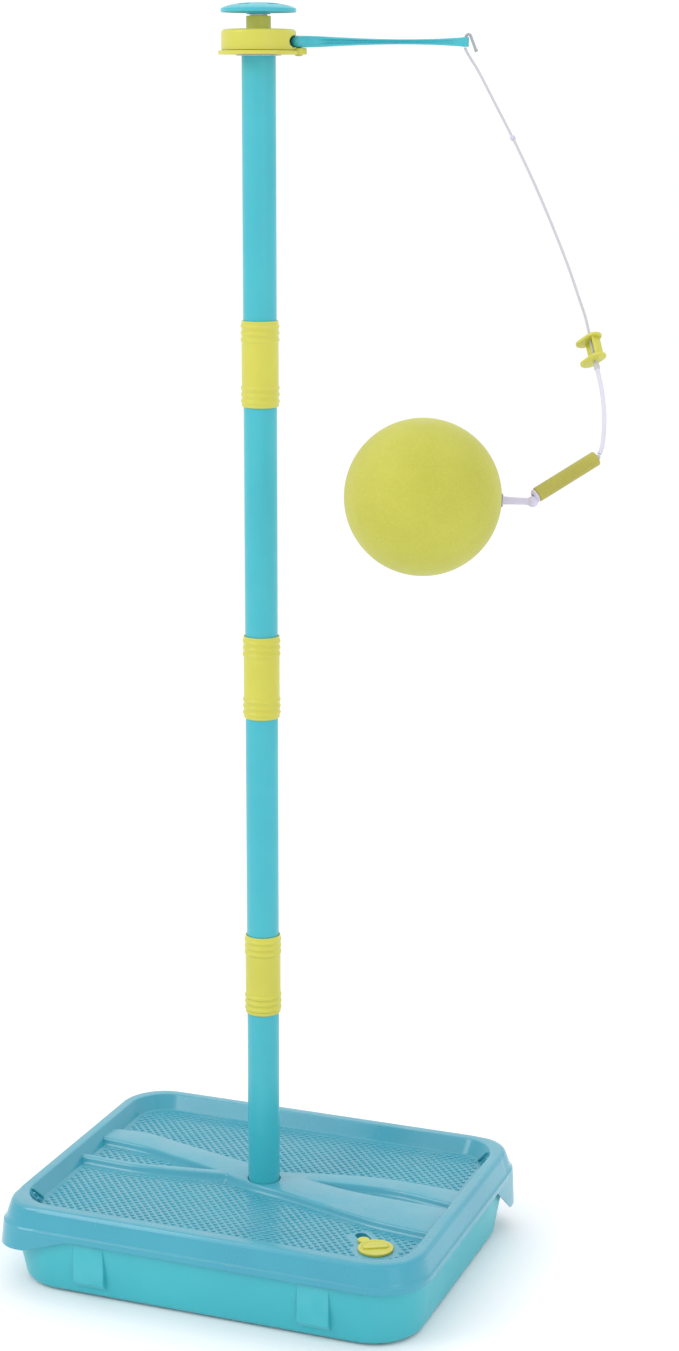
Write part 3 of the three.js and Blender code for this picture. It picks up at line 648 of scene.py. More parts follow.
lineSettings = {
    "diameter": 2.8,
    "lay": 9.0,
    "route": [
        (0.210, 0, 0.3 + 1.0208), (0.210, 0, 1.3194), (0.2124, -0.003, 1.3145), (0.2221, -0.0142, 1.2985),
        (0.2387, -0.034, 1.266), (0.2559, -0.0561, 1.2319), (0.2737, -0.0833, 1.1935),
        (0.2912, -0.1113, 1.1517), (0.3075, -0.1396, 1.1086), (0.3162, -0.1556, 1.082),
        (0.3223, -0.1686, 1.0624), (0.32565, -0.1795, 1.046), (0.32898, -0.1904, 1.0296),
        (0.3311, -0.1973, 1.0191),
    ],
}
leaderSettings = {
    "diameter": 4.4,
    "lay": 14.0,
    "route": [
        (0.3317, -0.1992, 1.0164), (0.3329, -0.2031, 1.0104), (0.3356, -0.2126, 0.9953),
        (0.3368, -0.2239, 0.9774), (0.336, -0.2341, 0.9594), (0.3336, -0.242, 0.9452),
        (0.3313, -0.2449, 0.9399),
    ],
}
tailSettings = {
    "diameter": 3.0,
    "lay": 8.0,
    "route": [
        (0.210, 0, 1.3216), (0.210, 0, 1.326), (0.210, 0, 1.3304), (0.2112, -0.0001, 1.333),
        (0.2132, -0.0003, 1.334), (0.2149, -0.0006, 1.3328), (0.2166, -0.0009, 1.3285),
        (0.2184, -0.0012, 1.324), (0.2202, -0.0015, 1.3191),
    ],
    "end": (0.2214, -0.0017, 1.3166),
}


lineRoute = [Vector(p) for p in lineSettings["route"]]


def worldRoute(route, spacing):
    dense = curveThrough([headSpin @ Vector(p) / mm for p in route], 24)
    return evenly(dense, spacing)


def addCord(name, settings, body, node, material="cord"):
    points = worldRoute(settings["route"], 0.7)
    cord = cordMesh(name, points, settings["diameter"], 3, settings["lay"], 0.06)
    finishPiece(cord, material, body, [node], reshade=False)


def headAim(obj, origin, direction):
    aim(obj, Vector(origin) / mm, direction)
    return moved(obj, headSpin)


def lineFall():
    # the line's direction at its lower end
    return (lineRoute[-1] - lineRoute[-4]).normalized()


def addLineFerrule():
    profile = [(1.5, 0, 0.3), (2.5, 0, 0.4), (2.95, 1.0, 0.4), (2.95, 2.5, 0.2), (2.75, 3.0, 0.2),
               (2.95, 3.5, 0.2), (2.95, 5.0, 0.4), (2.6, 6.0, 0.3), (2.25, 6.0, 0.2)]
    overlap = 1.8
    piece = lathe("lineFerrule", profile, 40, closed=True)
    headAim(piece, lineRoute[-1] - lineFall() * (overlap * mm), lineFall())
    return finishPiece(piece, "cord", "tether", ["line_ferrule"])


def addStopBead():
    at = 5      # the route point that carries the bead
    half = [(2.7, 1.1, 0.6), (1.9, 2.5, 0.4), (1.25, 2.5)]
    profile = [(point[0], -point[1], *point[2:]) for point in reversed(half)] + half
    piece = lathe("stopBead", profile, 32, closed=True)
    headAim(piece, lineRoute[at], lineRoute[at + 1] - lineRoute[at - 1])
    return finishPiece(piece, "white", "tether", ["stop_bead"])


def addTailFerrule():
    start = Vector(tailSettings["route"][-1])
    fall = Vector(tailSettings["end"]) - start
    length = fall.length / mm
    profile = [(0, 0), (1.6, 0, 0.2), (1.85, 0.6, 0.2), (1.85, length - 0.7, 0.3), (1.4, length, 0.2),
               (0, length)]
    piece = lathe("tailFerrule", profile, 28)
    headAim(piece, start, fall)
    return finishPiece(piece, "tail", "hub", ["tail_ferrule"])


def addLeaderKnot():
    # an overhand knot: one turn of the leader drawn up tight
    steps, across, depth = 60, 1.25 / 2.6, 1.2 / 1.4
    points = []
    for i in range(steps + 1):
        t = 2 * math.pi * i / steps
        x, y = math.sin(t) + 2 * math.sin(2 * t), math.cos(t) - 2 * math.cos(2 * t)
        points.append(Vector((across * x, across * y, -depth * math.sin(3 * t))))
    piece = cordMesh("leaderKnot", evenly(points, 0.25), 2.9, 3, 6.0, 0.14, 14)
    moved(piece, Matrix.Translation((0.3296, -0.2464, 0.937)))
    moved(piece, headSpin)
    return finishPiece(piece, "cord", "tether", ["leader_knot"], angle=60)


clipSettings = {
    "centre": (0.3264, -0.1878, 1.0333),
    "tilt": 22.0,          # degrees, the flanges' lean
    "turn": -40.0,         # degrees about the line
    "length": 29.8,
    "depth": 16.8,
    "spacing": 22.0,
    "flange": 2.9,
}


def addClip(settings):
    reach = settings["spacing"] / 2
    half = settings["flange"] / 2
    shape = capsule(settings["length"], settings["depth"])
    pieces = []
    for level in (-reach, reach):
        plate = prism("plate", shape, level - half, level + half)
        pieces.append(softEdges(plate, 0.9))
    back = softEdges(box("back", (-8, 2.6, -reach), (10, 5, reach)), 0.5)
    wallSide = softEdges(box("side", (8, -5, -reach), (10.4, 5, reach)), 0.5)
    rib = softEdges(box("rib", (-1.4, 1.2, -reach), (1.4, 3, reach)), 0.4)
    clip = gather(pieces[0], pieces[1], back, wallSide, rib)
    clip.name = "lineClip"
    lean = math.radians(settings["tilt"])
    across = Vector((math.cos(lean), 0, math.sin(lean)))
    axis = -lineFall()
    across = (across - axis * across.dot(axis)).normalized()
    across = Matrix.Rotation(math.radians(settings["turn"]), 3, axis) @ across
    depth = axis.cross(across)
    turn = Matrix((across, depth, axis)).transposed().to_4x4()
    moved(clip, Matrix.Translation(settings["centre"]) @ turn)
    moved(clip, headSpin)
    return finishPiece(clip, "lime", "clip", ["line_clip"], 40)


lineFerrule = addLineFerrule()
stopBead = addStopBead()
tailFerrule = addTailFerrule()
leaderKnot = addLeaderKnot()
lineClip = addClip(clipSettings)
addCord("swingLine", lineSettings, "tether", "line")
addCord("leaderCord", leaderSettings, "tether", "leader", "leader")
addCord("tailCord", tailSettings, "hub", "line_tail", "tail")
print("cords and their fittings made")


# --- ball, link and grip sleeve

ballSettings = {
    "centre": (0.162, -0.270, 0.9018),
    "radius": 75.0,
    "skin": 4.5,
    "linkPivot": (0.2665, -0.2697, 0.8976),
}
sleeveSettings = {
    "top": (0.3296, -0.2464, 0.937),
    "end": (0.2706, -0.2659, 0.9034),
    "radius": 7.3,
}


def addBall(settings):
    pivot = Vector(settings["linkPivot"])
    direction = Vector(settings["centre"]) - pivot
    radius = settings["radius"]
    middle = direction.length / mm
    surface = middle - radius

    def arc(size, mouth, rows):
        start = math.asin(mouth / size)
        points = []
        for row in range(rows + 1):
            angle = start + (math.pi - start) * row / rows
            r = 0 if row == rows else size * math.sin(angle)
            points.append((r, middle - size * math.cos(angle)))
        return points

    seat, bore, depth = 14, 4.4, 16
    inner = arc(radius - settings["skin"], seat, 24)[::-1]
    outer = arc(radius, bore + 1, 84)
    mouth = [(seat, surface + depth), (bore, surface + depth), (bore, surface + 1.6, 0.5)]
    shell = lathe("ball", inner + mouth + outer, 144)
    headAim(shell, pivot, direction)
    return finishPiece(shell, "ball", "ball", ["ball"])


def addBallLink(settings):
    pivot = Vector(settings["linkPivot"])
    direction = Vector(settings["centre"]) - pivot
    surface = direction.length / mm - settings["radius"]
    knobRadius = 5.3
    angles = [math.radians(a) for a in range(8, 128, 8)]
    knob = [(0, -knobRadius)] + [(knobRadius * math.sin(a), -knobRadius * math.cos(a)) for a in angles]
    neck = [(3.5, 4.6, 1.0), (3.25, 9), (3.4, 15), (3.6, 22), (4.0, surface, 0.6), (4.0, surface + 16.5),
            (11, surface + 16.5, 0.5), (11, surface + 19.5, 0.5), (0, surface + 19.5)]
    link = lathe("ballLink", knob + neck, 48)
    low, high, bore = surface - 1.3, surface - 0.2, 4.15
    ring = [(bore, low), (6.4, low, 0.5), (6.8, high, 0.3), (bore, high)]
    washer = lathe("washer", ring, 40, closed=True)
    gather(link, washer)
    headAim(link, pivot, direction)
    return finishPiece(link, "white", "ball", ["ball_link"])


def addSleeve(settings):
    top = Vector(settings["top"])
    fall = Vector(settings["end"]) - top
    length = fall.length / mm
    r = settings["radius"]
    bore, plugBore, plugDepth = 2.9, 5.1, 4.9
    profile = [(bore, 5.2), (bore, 3.0), (3.7, 1.6, 0.3), (r, 1.6, 3.0), (r, length, 0.9), (plugBore, length),
               (plugBore, length - plugDepth), (bore, length - plugDepth)]
    tube = lathe("gripSleeve", profile, 64, closed=True, steps=6)
    headAim(tube, top, fall)
    finishPiece(tube, "grip", "grip", ["grip_sleeve"])
    cap = [(0, length - 4.7), (4.7, length - 4.7), (4.7, length + 0.3), (6.6, length + 0.3, 0.4),
           (6.6, length + 1.8, 0.5), (5.2, length + 3.6, 0.8), (3.6, length + 4.0, 0.5), (3.2, length + 2.6),
           (0, length + 1.6)]
    plug = lathe("sleevePlug", cap, 56)
    headAim(plug, top, fall)
    finishPiece(plug, "white", "grip", ["sleeve_plug"])
    rings = [(1.9, 4.3), (2.2, 5.2, 0.4), (2.2, length - 6.4, 0.4), (1.9, length - 5.6)]
    core = lathe("sleeveCore", [(0, 4.3)] + rings + [(0, length - 5.6)], 24)
    headAim(core, top, fall)
    finishPiece(core, "cord", "grip", ["sleeve_core"])


addBall(ballSettings)
addBallLink(ballSettings)
addSleeve(sleeveSettings)
print("ball, link and grip made")


# --- pole

poleSettings = {
    "radius": 17.5,
    "bore": 15.5,
    "pitch": 334.5,
    "firstJoint": 331.0,
    "foot": 9.0,
    "top": 1330.0,
    "endGap": 1.3,
}
collarSettings = {
    "half": 45.0,
    "radius": 19.7,
    "bead": 20.3,
    "bore": 17.8,
    "stopBore": 14.5,
    "beads": (6.0, 13.0, 20.0),      # from each end
}


def addTubes(settings):
    for i in range(4):
        below = settings["firstJoint"] + (i - 1) * settings["pitch"]
        low = settings["foot"] if i == 0 else below + settings["endGap"]
        high = settings["top"] if i == 3 else below + settings["pitch"] - settings["endGap"]
        r, bore = settings["radius"], settings["bore"]
        profile = [(bore, low, 0.3), (r, low, 0.6), (r, high, 0.6), (bore, high, 0.3)]
        tube = lathe(f"poleTube{i + 1}", rounded(profile, True), 96, closed=True)
        finishPiece(tube, "pole", f"section_{i + 1}", [f"pole_tube_{i + 1}"])


def collarProfile(settings):
    half, r, bore, stopBore = (settings[key] for key in ("half", "radius", "bore", "stopBore"))
    bead = settings["bead"] + 0.02
    outer = [(bore + 0.9, -half, 0.3), (r - 0.25, -half + 0.9, 0.5)]
    for mark in [d - half for d in settings["beads"]] + [half - d for d in reversed(settings["beads"])]:
        outer += [(r - 0.35, mark - 2.5, 0.3), (r, mark - 2.0, 0.4), (bead, mark - 0.9, 0.5)]
        outer += [(bead, mark + 0.9, 0.5), (r, mark + 2.0, 0.4), (r - 0.35, mark + 2.5, 0.3)]
    outer += [(r - 0.25, half - 0.9, 0.5), (bore + 0.9, half, 0.3)]
    inner = [(bore, half - 0.6), (bore, 1), (stopBore, 1, 0.2), (stopBore, -1, 0.2), (bore, -1),
             (bore, -half + 0.6)]
    return outer + inner


def addCollars(settings):
    for i in range(3):
        collar = lathe(f"poleCollar{i + 1}", collarProfile(settings), 112, closed=True, steps=3)
        moved(collar, shift(z=poleSettings["firstJoint"] + i * poleSettings["pitch"]))
        finishPiece(collar, "lime", f"section_{i + 1}", [f"pole_collar_{i + 1}"], 38)


addTubes(poleSettings)
addCollars(collarSettings)
print("pole made")


# --- head

headSettings = {
    "drumRadius": 38.1,
    "drumLow": 1317.8,
    "drumTop": 1338.6,
    "neck": 12.7,
    "neckTop": 1351.6,
    "flangeRadius": 41.5,
    "flangeLow": 1313.5,
    "flangeTop": 1317.4,
    "pivot": 40.8,
    "ear": 8.1,
    "earTop": 1319.9,
    "slotLow": 1319.9,
    "slotHigh": 1332.7,
    "slotFrom": 31.6,      # the wall is open outwards from here, on the front side
    "slotBack": 11.8,
}
domeSettings = {
    "radius": 38.35,
    "rim": 1355.1,
    "top": 1365.1,
    "windows": 5,
    "windowRing": 24.5,
    "windowLength": 15.0,
    "windowWidth": 7.0,
    "windowAt": -52.3,     # degrees, the first window
}
armSettings = {
    "mid": 1326.3,
    # distance from the pole's axis, half height, half width
    "stations": [(44, 5.7, 9.0), (50, 5.65, 8.7), (58, 5.45, 8.0), (66, 5.1, 7.2), (78, 4.5, 6.5),
                 (90, 3.95, 5.9), (105, 3.3, 5.3), (122, 2.75, 4.8), (141, 2.5, 4.4), (158, 2.55, 4.05),
                 (175, 2.85, 3.75),
                 (190, 3.5, 3.5), (200, 4.1, 3.35), (209, 4.6, 3.2)],
    "groove": 0.42,
    "tip": 210.0,
    "tipRadius": 3.5,
    "tipHalf": 4.8,
}


def cylinder(name, radius, low, high, place=(0, 0), segments=48):
    piece = lathe(name, [(0, low), (radius, low), (radius, high), (0, high)], segments)
    return moved(piece, shift(*place))


def screwSpots():
    ring = 28
    angles = [math.radians(a) for a in (80, 200, 300)]
    return [(ring * math.cos(a), ring * math.sin(a)) for a in angles]


def addDrum(s):
    r, low, top, neck = s["drumRadius"], s["drumLow"], s["drumTop"], s["neck"]
    wall, bore = 2.5, 8.3
    neckTop = s["neckTop"]
    profile = [(r - wall, low, 0.2), (r, low, 0.5), (r, top, 4.2), (neck, top, 1.2), (neck, neckTop, 0.5),
               (bore, neckTop, 0.3), (bore, top - wall, 0.3), (r - wall, top - wall, 1.5)]
    drum = lathe("hubDrum", profile, 128, closed=True, steps=7)
    half = (s["slotHigh"] - s["slotLow"]) / 2
    endX = s["slotFrom"] + half
    slot = box("slot", (endX, -60, s["slotLow"]), (80, s["slotBack"], s["slotHigh"]))
    slotEnd = cylinder("slotEnd", half, -s["slotBack"], 60)
    moved(slotEnd, shift(endX, 0, armSettings["mid"]) @ turnAbout("X", 90))
    fuse(slot, slotEnd)
    gap = 0.4
    cutAway(drum, slot, cylinder("earRoom", s["ear"] + gap, low - 1, s["slotLow"] + 1, (s["pivot"], 0)))
    bosses = [cylinder("boss", 4, low + 0.2, top - 1.2, spot, 28) for spot in screwSpots()]
    gather(drum, *bosses)
    softEdges(drum, 0.35, 2, 50)
    moved(drum, headSpin)
    return finishPiece(drum, "lime", "hub", ["hub_drum"], 40)


def addFlange(s):
    low, top, r = s["flangeLow"], s["flangeTop"], s["flangeRadius"]
    bore, earRadius, earTop = 20.5, s["ear"], s["earTop"]
    profile = [(bore, low, 0.4), (r, low, 0.8), (r, top, 1.1), (bore, top, 0.4)]
    plate = lathe("hubFlange", profile, 128, closed=True, steps=5)
    ear = lathe("ear", [(0, low), (earRadius, low, 0.8), (earRadius, earTop, 1.3), (0, earTop)], 56, steps=5)
    moved(ear, shift(s["pivot"]))
    fuse(plate, ear)
    holes = [cylinder("pinHole", 2.8, low - 1, s["earTop"] + 1, (s["pivot"], 0), 32)]
    for spot in screwSpots():
        holes.append(cylinder("head", 3.4, low - 1, low + 2.2, spot, 28))
        holes.append(cylinder("shank", 1.9, low - 1, top + 1, spot, 24))
    cutAway(plate, *holes)
    moved(plate, headSpin)
    return finishPiece(plate, "lime", "hub", ["hub_flange"], 40)


def armSection(half, width, groove):
    # an I shape with round flanges, from the lower right corner anticlockwise
    web = width * (1 - groove)
    upper = [(web, half * 0.2), (web + (width - web) * 0.25, half * 0.36), (width * 0.95, half * 0.56),
             (width, half * 0.78), (width * 0.96, half * 0.93), (width * 0.82, half)]
    right = [(y, -z) for y, z in reversed(upper)] + upper
    return right + [(-y, z) for y, z in reversed(right)]


def addArm(s):
    loops = []
    stations = s["stations"]
    fine = []
    for here, after in zip(stations, stations[1:]):
        fine += [tuple(a + (b - a) * k / 3 for a, b in zip(here, after)) for k in range(3)]
    fine.append(stations[-1])
    for x, half, width in fine:
        fade = min(1, max(0, (x - 56) / 14)) * min(1, max(0, (204 - x) / 8))
        loops.append([(x, y, s["mid"] + z) for y, z in armSection(half, width, s["groove"] * fade)])
    beam = loft("arm", loops)
    half, flat, bulge = 5.9, 4.4, 6.4
    angles = [math.radians(a) for a in range(-90, 91, 10)]
    root = [(flat + bulge * math.cos(a), half * math.sin(a)) for a in angles]
    boss = lathe("boss", [(0, -half)] + root + [(0, half)], 72)
    moved(boss, shift(headSettings["pivot"], 0, s["mid"]))
    r, half = s["tipRadius"], s["tipHalf"]
    barrel = lathe("barrel", [(0, -half), (r, -half, 0.6), (r, half, 0.6), (0, half)], 40)
    moved(barrel, shift(s["tip"], 0, s["mid"]))
    fuse(beam, boss, barrel)
    mid, pivot = s["mid"], (headSettings["pivot"], 0)
    holes = [
        cylinder("pinHole", 2.8, mid - 8, mid + 8, pivot, 32),
        cylinder("pinHead", 4.4, mid + 4.5, mid + 8, pivot, 40),
        cylinder("cordHole", 1.5, mid - 9, mid + 9, (s["tip"], 0), 28),
    ]
    cutAway(beam, *holes)
    moved(beam, headSpin)
    return finishPiece(beam, "pole", "hub", ["arm"], 44)


def addArmPin(s):
    top, tip, r = armSettings["mid"] + 5.7, s["flangeLow"] - 1.7, 2.5
    profile = [(0, tip), (r, tip, 0.5), (r, top - 0.9), (4, top - 0.9, 0.2), (4, top, 0.5), (1.6, top, 0.2),
               (1.3, top - 0.5), (0, top - 0.5)]
    pin = lathe("armPin", profile, 40)
    moved(pin, headSpin @ shift(s["pivot"]))
    finishPiece(pin, "lime", "hub", ["arm_pin"])


def addDome(s):
    r, rim, top = s["radius"], s["rim"], s["top"]

    def bulge(x, lift):
        return rim + lift + (top - rim - lift) * math.sqrt(max(0, 1 - (x / (r + 1.5)) ** 2))

    edge, sleeveLow, sleeveTop = 1.2, rim - 1.9, rim + 2.2
    outer = [(x, bulge(x, edge)) for x in (r, 37, 35, 32, 28, 24, 19, 14, 9, 4, 0)]
    bore, sleeve = 5.3, 12.2
    under = [(0, sleeveTop), (bore, sleeveTop), (bore, sleeveLow), (sleeve, sleeveLow, 0.5),
             (sleeve, rim + 3.6, 1)]
    under += [(x, bulge(x, edge) - thickness) for x, thickness in ((18, 3.2), (26, 2.6), (33, 2.1))]
    under += [(r - 1.4, rim + 0.1, 0.2), (r - 0.3, rim, 0.4), (r, rim + 0.5, 0.2)]
    dome = lathe("headCap", under + outer, 120)
    cutters = []
    for i in range(s["windows"]):
        hole = prism("window", oval(s["windowWidth"], s["windowLength"]), rim - 3, top + 3)
        turn = turnAbout("Z", 360 * i / s["windows"] + s["windowAt"])
        cutters.append(moved(hole, turn @ shift(s["windowRing"])))
    cutAway(dome, *cutters)
    softEdges(dome, 0.5, 3, 40)
    moved(dome, headSpin)
    return finishPiece(dome, "pole", "section_4", ["head_cap"], 40)


addDrum(headSettings)
addFlange(headSettings)
addArm(armSettings)
addArmPin(headSettings)
addDome(domeSettings)
print("head made")


# --- base

baseSettings = {
    "halfX": 244.0,
    "halfY": 189.0,
    "corner": 58.0,
    "deck": 80.5,
    "beam": 88.4,
}
tubSettings = {
    "halfX": 230.0,
    "halfY": 175.0,
    "corner": 56.0,
    "lean": 9.4 / 64,         # outward draft
    "panelAt": 130.0,
    "panelWidth": 36.0,
    "panelFace": 184.5,
    "panelOutline": [(-18, 8), (-12, 8), (0, 20), (0, 65), (-18, 65)],      # outwards, height
}
bungSettings = {"place": (174, -112), "radius": 19.0, "top": 83.4, "turn": 28, "lobe": (-18.5, 13.5)}
notchSettings = {"place": (151, -88.5), "length": 22.0, "width": 13.0, "floor": 73.0, "turn": 135}
bumpSettings = {"pitch": 9.4, "row": 5.3, "length": 5.6, "width": 3.9, "height": 1.45}
lipSettings = {
    # how far in from the widest outline, corner radius, height; the lower edge is added
    "outside": [(0.3, 36, 66), (0.7, 37, 73), (2.5, 37, 75), (3.5, 37, 79), (7.2, 36, 92), (8.5, 36, 94.6),
                (10.4, 35, 96.3), (13.5, 34, 96.85)],
    "inside": [(15, 46, 96.9), (15, 46, 95.2), (7.6, 52, 88), (5, 54, 81), (3, 44, 74), (2.5, 34, 66)],
    "radius": 37.0,
    "reach": 110.0,
    # corner, lower edge, its rise along the long side and along the short side
    "corners": [(-1, -1, 48, 0.33, 0.75), (1, 1, 28, 0.7, 0.75)],
}
creaseSettings = {
    "radius": 1.3,
    "top": 96.2,
    "foot": 81.2,
    # where each rib leaves the rim and where it meets the deck
    "ribs": [((-221, -134), (-214, -122)), ((-213.5, -145), (-212, -131)), ((-204, -155), (-206, -141)),
             ((218, 140.5), (205, 147)), ((223, 124), (211, 140)), ((223.5, 107), (214, 129))],
}


def baseLoop(inset, z, steps=18):
    radius = max(baseSettings["corner"] - inset * 0.8, 14)
    return roundedLoop(baseSettings["halfX"] - inset, baseSettings["halfY"] - inset, radius, z, steps)


def addTub(s):
    def loop(z, inset):
        grow = (z - 2) * s["lean"] - inset
        return roundedLoop(s["halfX"] + grow, s["halfY"] + grow, s["corner"] - inset * 0.8, z, 18)

    # inset from the outer wall, height
    profile = [(15, 2), (0, 2, 6.5), (0, 66), (2, 75, 0.5), (4.5, 75, 0.5), (2.5, 66), (2.5, 5, 4), (14, 5)]
    levels = rounded(profile, False, 8)
    shell = loft("tub", [loop(z, inset) for inset, z in levels])
    disc = lathe("disc", [(0, 0), (34, 0, 0.8), (34, 3), (0, 3)], 96)
    panels = []
    for side in (-1, 1):
        for along in (-1, 1):
            x = along * s["panelAt"]
            outline = [(side * (s["panelFace"] + out), z) for out, z in s["panelOutline"]]
            half = s["panelWidth"] / 2
            panel = loft("panel", [[(x + reach, y, z) for y, z in outline] for reach in (-half, half)])
            panels.append(softEdges(panel, 1.6, 4))
    gather(shell, disc, *panels)
    return finishPiece(shell, "tub", "base", ["tub"], 40)


def interpolate(points, x):
    for (x0, y0), (x1, y1) in zip(points, points[1:]):
        if x0 <= x <= x1:
            return y0 + (y1 - y0) * (x - x0) / (x1 - x0)
    return points[0][1] if x < points[0][0] else points[-1][1]


def smoothEdge(points):
    dense = curveThrough([(x, y, 0) for x, y in points], 12)
    return [(p.x, p.y) for p in dense]


beamEdges = {
    "wideBack": smoothEdge([(-232, 66), (-178, 70), (-130, 58), (-88, 47), (-36, 34), (54, 13), (96, 4),
                            (124, 1), (170, -1), (232, -4)]),
    "wideFront": smoothEdge([(-232, 40), (-159, 31), (-126, 22), (-69, 5), (-13, -17), (31, -27), (75, -39),
                             (117, -51), (156, -61), (232, -70)]),
    "slimBack": smoothEdge([(-232, -9), (-157, -13), (-101, -5), (-60, 2), (11, 23), (65, 37), (116, 47),
                            (171, 48), (232, 45)]),
    "slimFront": smoothEdge([(-232, -17), (-154, -21), (-109, -16), (-64, -9), (0, 3), (73, 16), (143, 22),
                             (232, 8)]),
}


def addBeam(name, back, front, top):
    # cross-section: how far outside the edge line, height
    flank = [(4.6, 79.6), (4.4, 80.6), (3.4, 81.3), (2.2, 83.4), (1.0, 86.0), (0.2, 87.4), (-0.9, 88.15),
             (-2.6, top)]
    reach, steps = 227, 110
    loops = []
    for i in range(steps + 1):
        x = -reach + 2 * reach * i / steps
        yBack, yFront = interpolate(beamEdges[back], x), interpolate(beamEdges[front], x)
        loop = [(x, yBack + out, z) for out, z in flank]
        loop += [(x, yFront - out, z) for out, z in reversed(flank)]
        loops.append(loop)
    return loft(name, loops)


def notchPocket(name, grow, low, high):
    s = notchSettings
    outline = capsule(s["length"] + 2 * grow, s["width"] + 2 * grow, 12)
    pocket = prism(name, outline, low, high)
    return moved(pocket, shift(*s["place"]) @ turnAbout("Z", s["turn"]))


def clearOfFeatures(x, y):
    inset, corner, beside = 36, 24, 8
    if abs(x) > baseSettings["halfX"] - inset or abs(y) > baseSettings["halfY"] - inset:
        return False
    cornerX = abs(x) - (baseSettings["halfX"] - inset - corner)
    cornerY = abs(y) - (baseSettings["halfY"] - inset - corner)
    if cornerX > 0 and cornerY > 0 and math.hypot(cornerX, cornerY) > corner:
        return False
    for back, front in (("wideBack", "wideFront"), ("slimBack", "slimFront")):
        if interpolate(beamEdges[front], x) - beside < y < interpolate(beamEdges[back], x) + beside:
            return False
    clearings = (((0, 0), 24), (bungSettings["place"], 26), (notchSettings["place"], 16))
    return all(math.dist((x, y), place) > radius for place, radius in clearings)


def addDeckBumps(s):
    # staggered oval pips that give the deck its grip
    verts, faces = [], []
    sides, columns, rows = 12, 26, int(330 / s["row"])
    for row in range(-rows // 2, rows // 2 + 1):
        for column in range(-columns, columns + 1):
            x = (column + 0.5 * (row % 2)) * s["pitch"]
            y = row * s["row"]
            if not clearOfFeatures(x, y):
                continue
            start = len(verts)
            for scale, lift in ((1.0, -0.1), (0.88, 0.6), (0.55, 0.95)):
                z = baseSettings["deck"] + lift * s["height"]
                ring = oval(scale * s["length"], scale * s["width"], sides)
                verts += [(x + dx, y + dy, z) for dx, dy in ring]
            verts.append((x, y, baseSettings["deck"] + s["height"]))
            for ring in range(2):
                for k in range(sides):
                    j = (k + 1) % sides
                    low, high = start + ring * sides, start + (ring + 1) * sides
                    faces.append((low + k, low + j, high + j, high + k))
            for k in range(sides):
                faces.append((start + 2 * sides + k, start + 2 * sides + (k + 1) % sides, start + 3 * sides))
    return meshObject("deckBumps", verts, faces)


def cornerLip(signX, signY, low, longRise, shortRise):
    # a deep lip that stands out round one corner of the skirt
    s = lipSettings
    halfX, halfY = baseSettings["halfX"], baseSettings["halfY"]
    section = [(0.3, 30, low)] + s["outside"] + s["inside"] + [(2.5, 28, low)]
    loops = [roundedLoop(halfX - inset, halfY - inset, radius, z, 24) for inset, radius, z in section]
    ring = loft("lip", loops, ringed=True)
    beyond = 6
    x0, x1 = sorted((signX * (halfX + beyond), signX * (halfX - s["reach"])))
    y0, y1 = sorted((signY * (halfY + beyond), signY * (halfY - s["reach"])))
    lip = combine(ring, [box("window", (x0, y0, 20), (x1, y1, 99))], "INTERSECT")
    turns = (
        ((signX * (halfX - s["radius"]), 0), Matrix.Rotation(signX * math.atan(longRise), 4, "Y")),
        ((0, signY * (halfY - s["radius"])), Matrix.Rotation(-signY * math.atan(shortRise), 4, "X")),
    )
    for (x, y), turn in turns:
        wedge = box("wedge", (-400, -400, -160), (400, 400, 0))
        moved(wedge, shift(x, y, low) @ turn)
        cutAway(lip, wedge)
    return softEdges(lip, 0.7, 3, 50)


def addCreases(s):
    ribs = []
    for (x0, y0), (x1, y1) in s["ribs"]:
        start, end = Vector((x0, y0, s["top"])), Vector((x1, y1, s["foot"]))
        length = (end - start).length
        rib = lathe("crease", [(0, 0), (s["radius"], 0, 0.8), (s["radius"], length, 0.8), (0, length)], 20)
        ribs.append(aim(rib, start, end - start))
    return ribs


def addLid(s):
    deck = s["deck"]
    # inset from the widest outline, height
    profile = [
        (28.6, deck - 2.5), (18.6, 94.5, 1.5), (10.4, 94.5, 1.5), (4.8, 77, 1), (2.6, 72.5), (2.6, 66, 0.8),
        (0, 66, 1.1), (0, 73.0, 1.2), (1.7, 74.4, 0.8), (2.6, 77, 1.5), (6.6, 92.4, 2), (9.6, 97, 4.2),
        (20.4, 97, 2.6), (29.6, deck, 2.4), (36, deck),
    ]
    lid = loft("deckLid", [baseLoop(inset, z) for inset, z in rounded(profile, False, 6)])
    pocketBody = notchPocket("pocketBody", 1.6, notchSettings["floor"] - 1.8, deck - 0.4)
    wide = addBeam("wide", "wideBack", "wideFront", s["beam"])
    slim = addBeam("slim", "slimBack", "slimFront", s["beam"] - 0.03)
    fuse(lid, pocketBody, wide, slim)
    cutAway(
        lid,
        cylinder("poleHole", 18.6, 70, 100, (0, 0), 96),
        cylinder("bungHole", 17, 70, 90, bungSettings["place"], 64),
        notchPocket("pocket", 0, notchSettings["floor"], deck + 6),
    )
    lips = [cornerLip(*corner) for corner in lipSettings["corners"]]
    gather(lid, addDeckBumps(bumpSettings), *lips, *addCreases(creaseSettings))
    return finishPiece(lid, "deck", "lid", ["deck_lid"], 38)


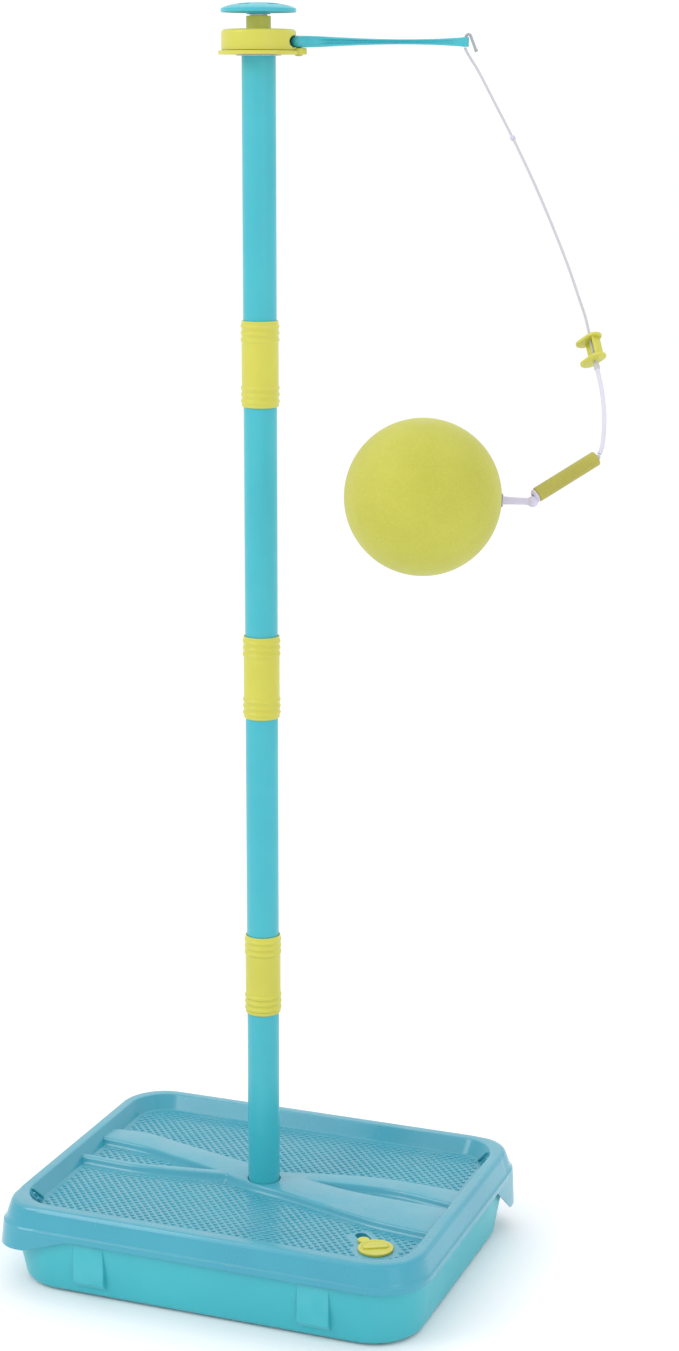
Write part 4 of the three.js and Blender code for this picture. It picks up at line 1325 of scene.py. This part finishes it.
def addBung(s):
    flangeLow, top = 80.8, s["top"]
    profile = [(0, 66), (11.4, 66, 0.6), (12.2, 68), (12.2, flangeLow), (s["radius"], flangeLow, 0.4),
               (s["radius"], top, 0.9), (15.6, top, 0.5), (15.1, top - 0.7, 0.4), (0, top - 0.7)]
    body = lathe("fillerBung", profile, 80, steps=5)
    lobe = lathe("lobe", [(0, flangeLow), (6.5, flangeLow, 0.4), (6.5, top, 0.9), (0, top)], 48, steps=5)
    moved(lobe, shift(*s["lobe"]))
    fuse(body, lobe)
    bar = softEdges(prism("bar", capsule(27, 5.4), top - 1.2, top + 1.1), 0.8, 3)
    moved(bar, turnAbout("Z", s["turn"]))
    gather(body, bar)
    moved(body, shift(*s["place"]))
    return finishPiece(body, "lime", "bung", ["filler_bung"], 40)


addTub(tubSettings)
addLid(baseSettings)
addBung(bungSettings)
print("base made")


# --- CAD nodes that keep their own shape

keptNodes = {
    "deck": ["ballast_tray", "pole_socket"],
    "rubber": ["bung_seal", "foot_pad_1", "foot_pad_2", "foot_pad_3", "foot_pad_4"],
    "pole": ["pole_plug"],
    "steel": ["spindle", "retaining_ring", "hub_screw_1", "hub_screw_2", "hub_screw_3"],
    "white": ["thrust_washer", "upper_bush", "lower_bush"],
    "lime": ["arm_pin_nut"],
}
for kind, names in keptNodes.items():
    for name in names:
        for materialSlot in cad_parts[name].material_slots:
            materialSlot.material = materials[kind]
print("CAD nodes finished:", sum(len(names) for names in keptNodes.values()))


# --- floor, lights and air

stageSettings = {
    "floorColour": rgb(252, 252, 252),
    "airColour": (0.97, 0.98, 1.0, 1.0),
    "airStrength": 1.08,
    # name, place, aim, size, power, colour
    "lights": [
        ("key", (-2.3, -2.6, 3.2), (0, 0, 0.6), (1.8, 1.8), 38, (1.0, 0.985, 0.96)),
        ("fill", (3.0, -2.2, 1.6), (0, 0, 0.6), (1.6, 2.4), 10, (0.95, 0.98, 1.0)),
        ("sky", (0.2, 1.2, 3.4), (0, 0, 0.2), (3.2, 2.4), 12, (0.94, 0.97, 1.0)),
    ],
}


def addStage(settings):
    size = 80
    corners = [(-size, -size, 0), (size, -size, 0), (size, size, 0), (-size, size, 0)]
    floor = meshObject("floor", corners, [(0, 1, 2, 3)], 1)
    material, tree, shader = newMaterial("paleFloor")
    tone = tint(tree, noise(tree, objectPlace(tree), 3.0, 3.0), settings["floorColour"], rgb(250, 250, 251))
    tree.links.new(tone, shader.inputs["Base Color"])
    shader.inputs["Roughness"].default_value = 0.85
    floor.data.materials.append(material)
    for name, place, target, size, power, colour in settings["lights"]:
        data = bpy.data.lights.new(name, "AREA")
        data.shape = "RECTANGLE"
        data.size, data.size_y = size
        data.energy = power
        data.color = colour
        lamp = bpy.data.objects.new(name, data)
        lamp.location = place
        lamp.rotation_euler = (Vector(target) - Vector(place)).to_track_quat("-Z", "Y").to_euler()
        bpy.context.scene.collection.objects.link(lamp)
    world = bpy.data.worlds.new("studioAir")
    world.use_nodes = True
    world.node_tree.nodes["Background"].inputs[0].default_value = settings["airColour"]
    world.node_tree.nodes["Background"].inputs[1].default_value = settings["airStrength"]
    bpy.context.scene.world = world
    bpy.context.scene.view_settings.view_transform = "Standard"


addStage(stageSettings)
print("stage and lights made")
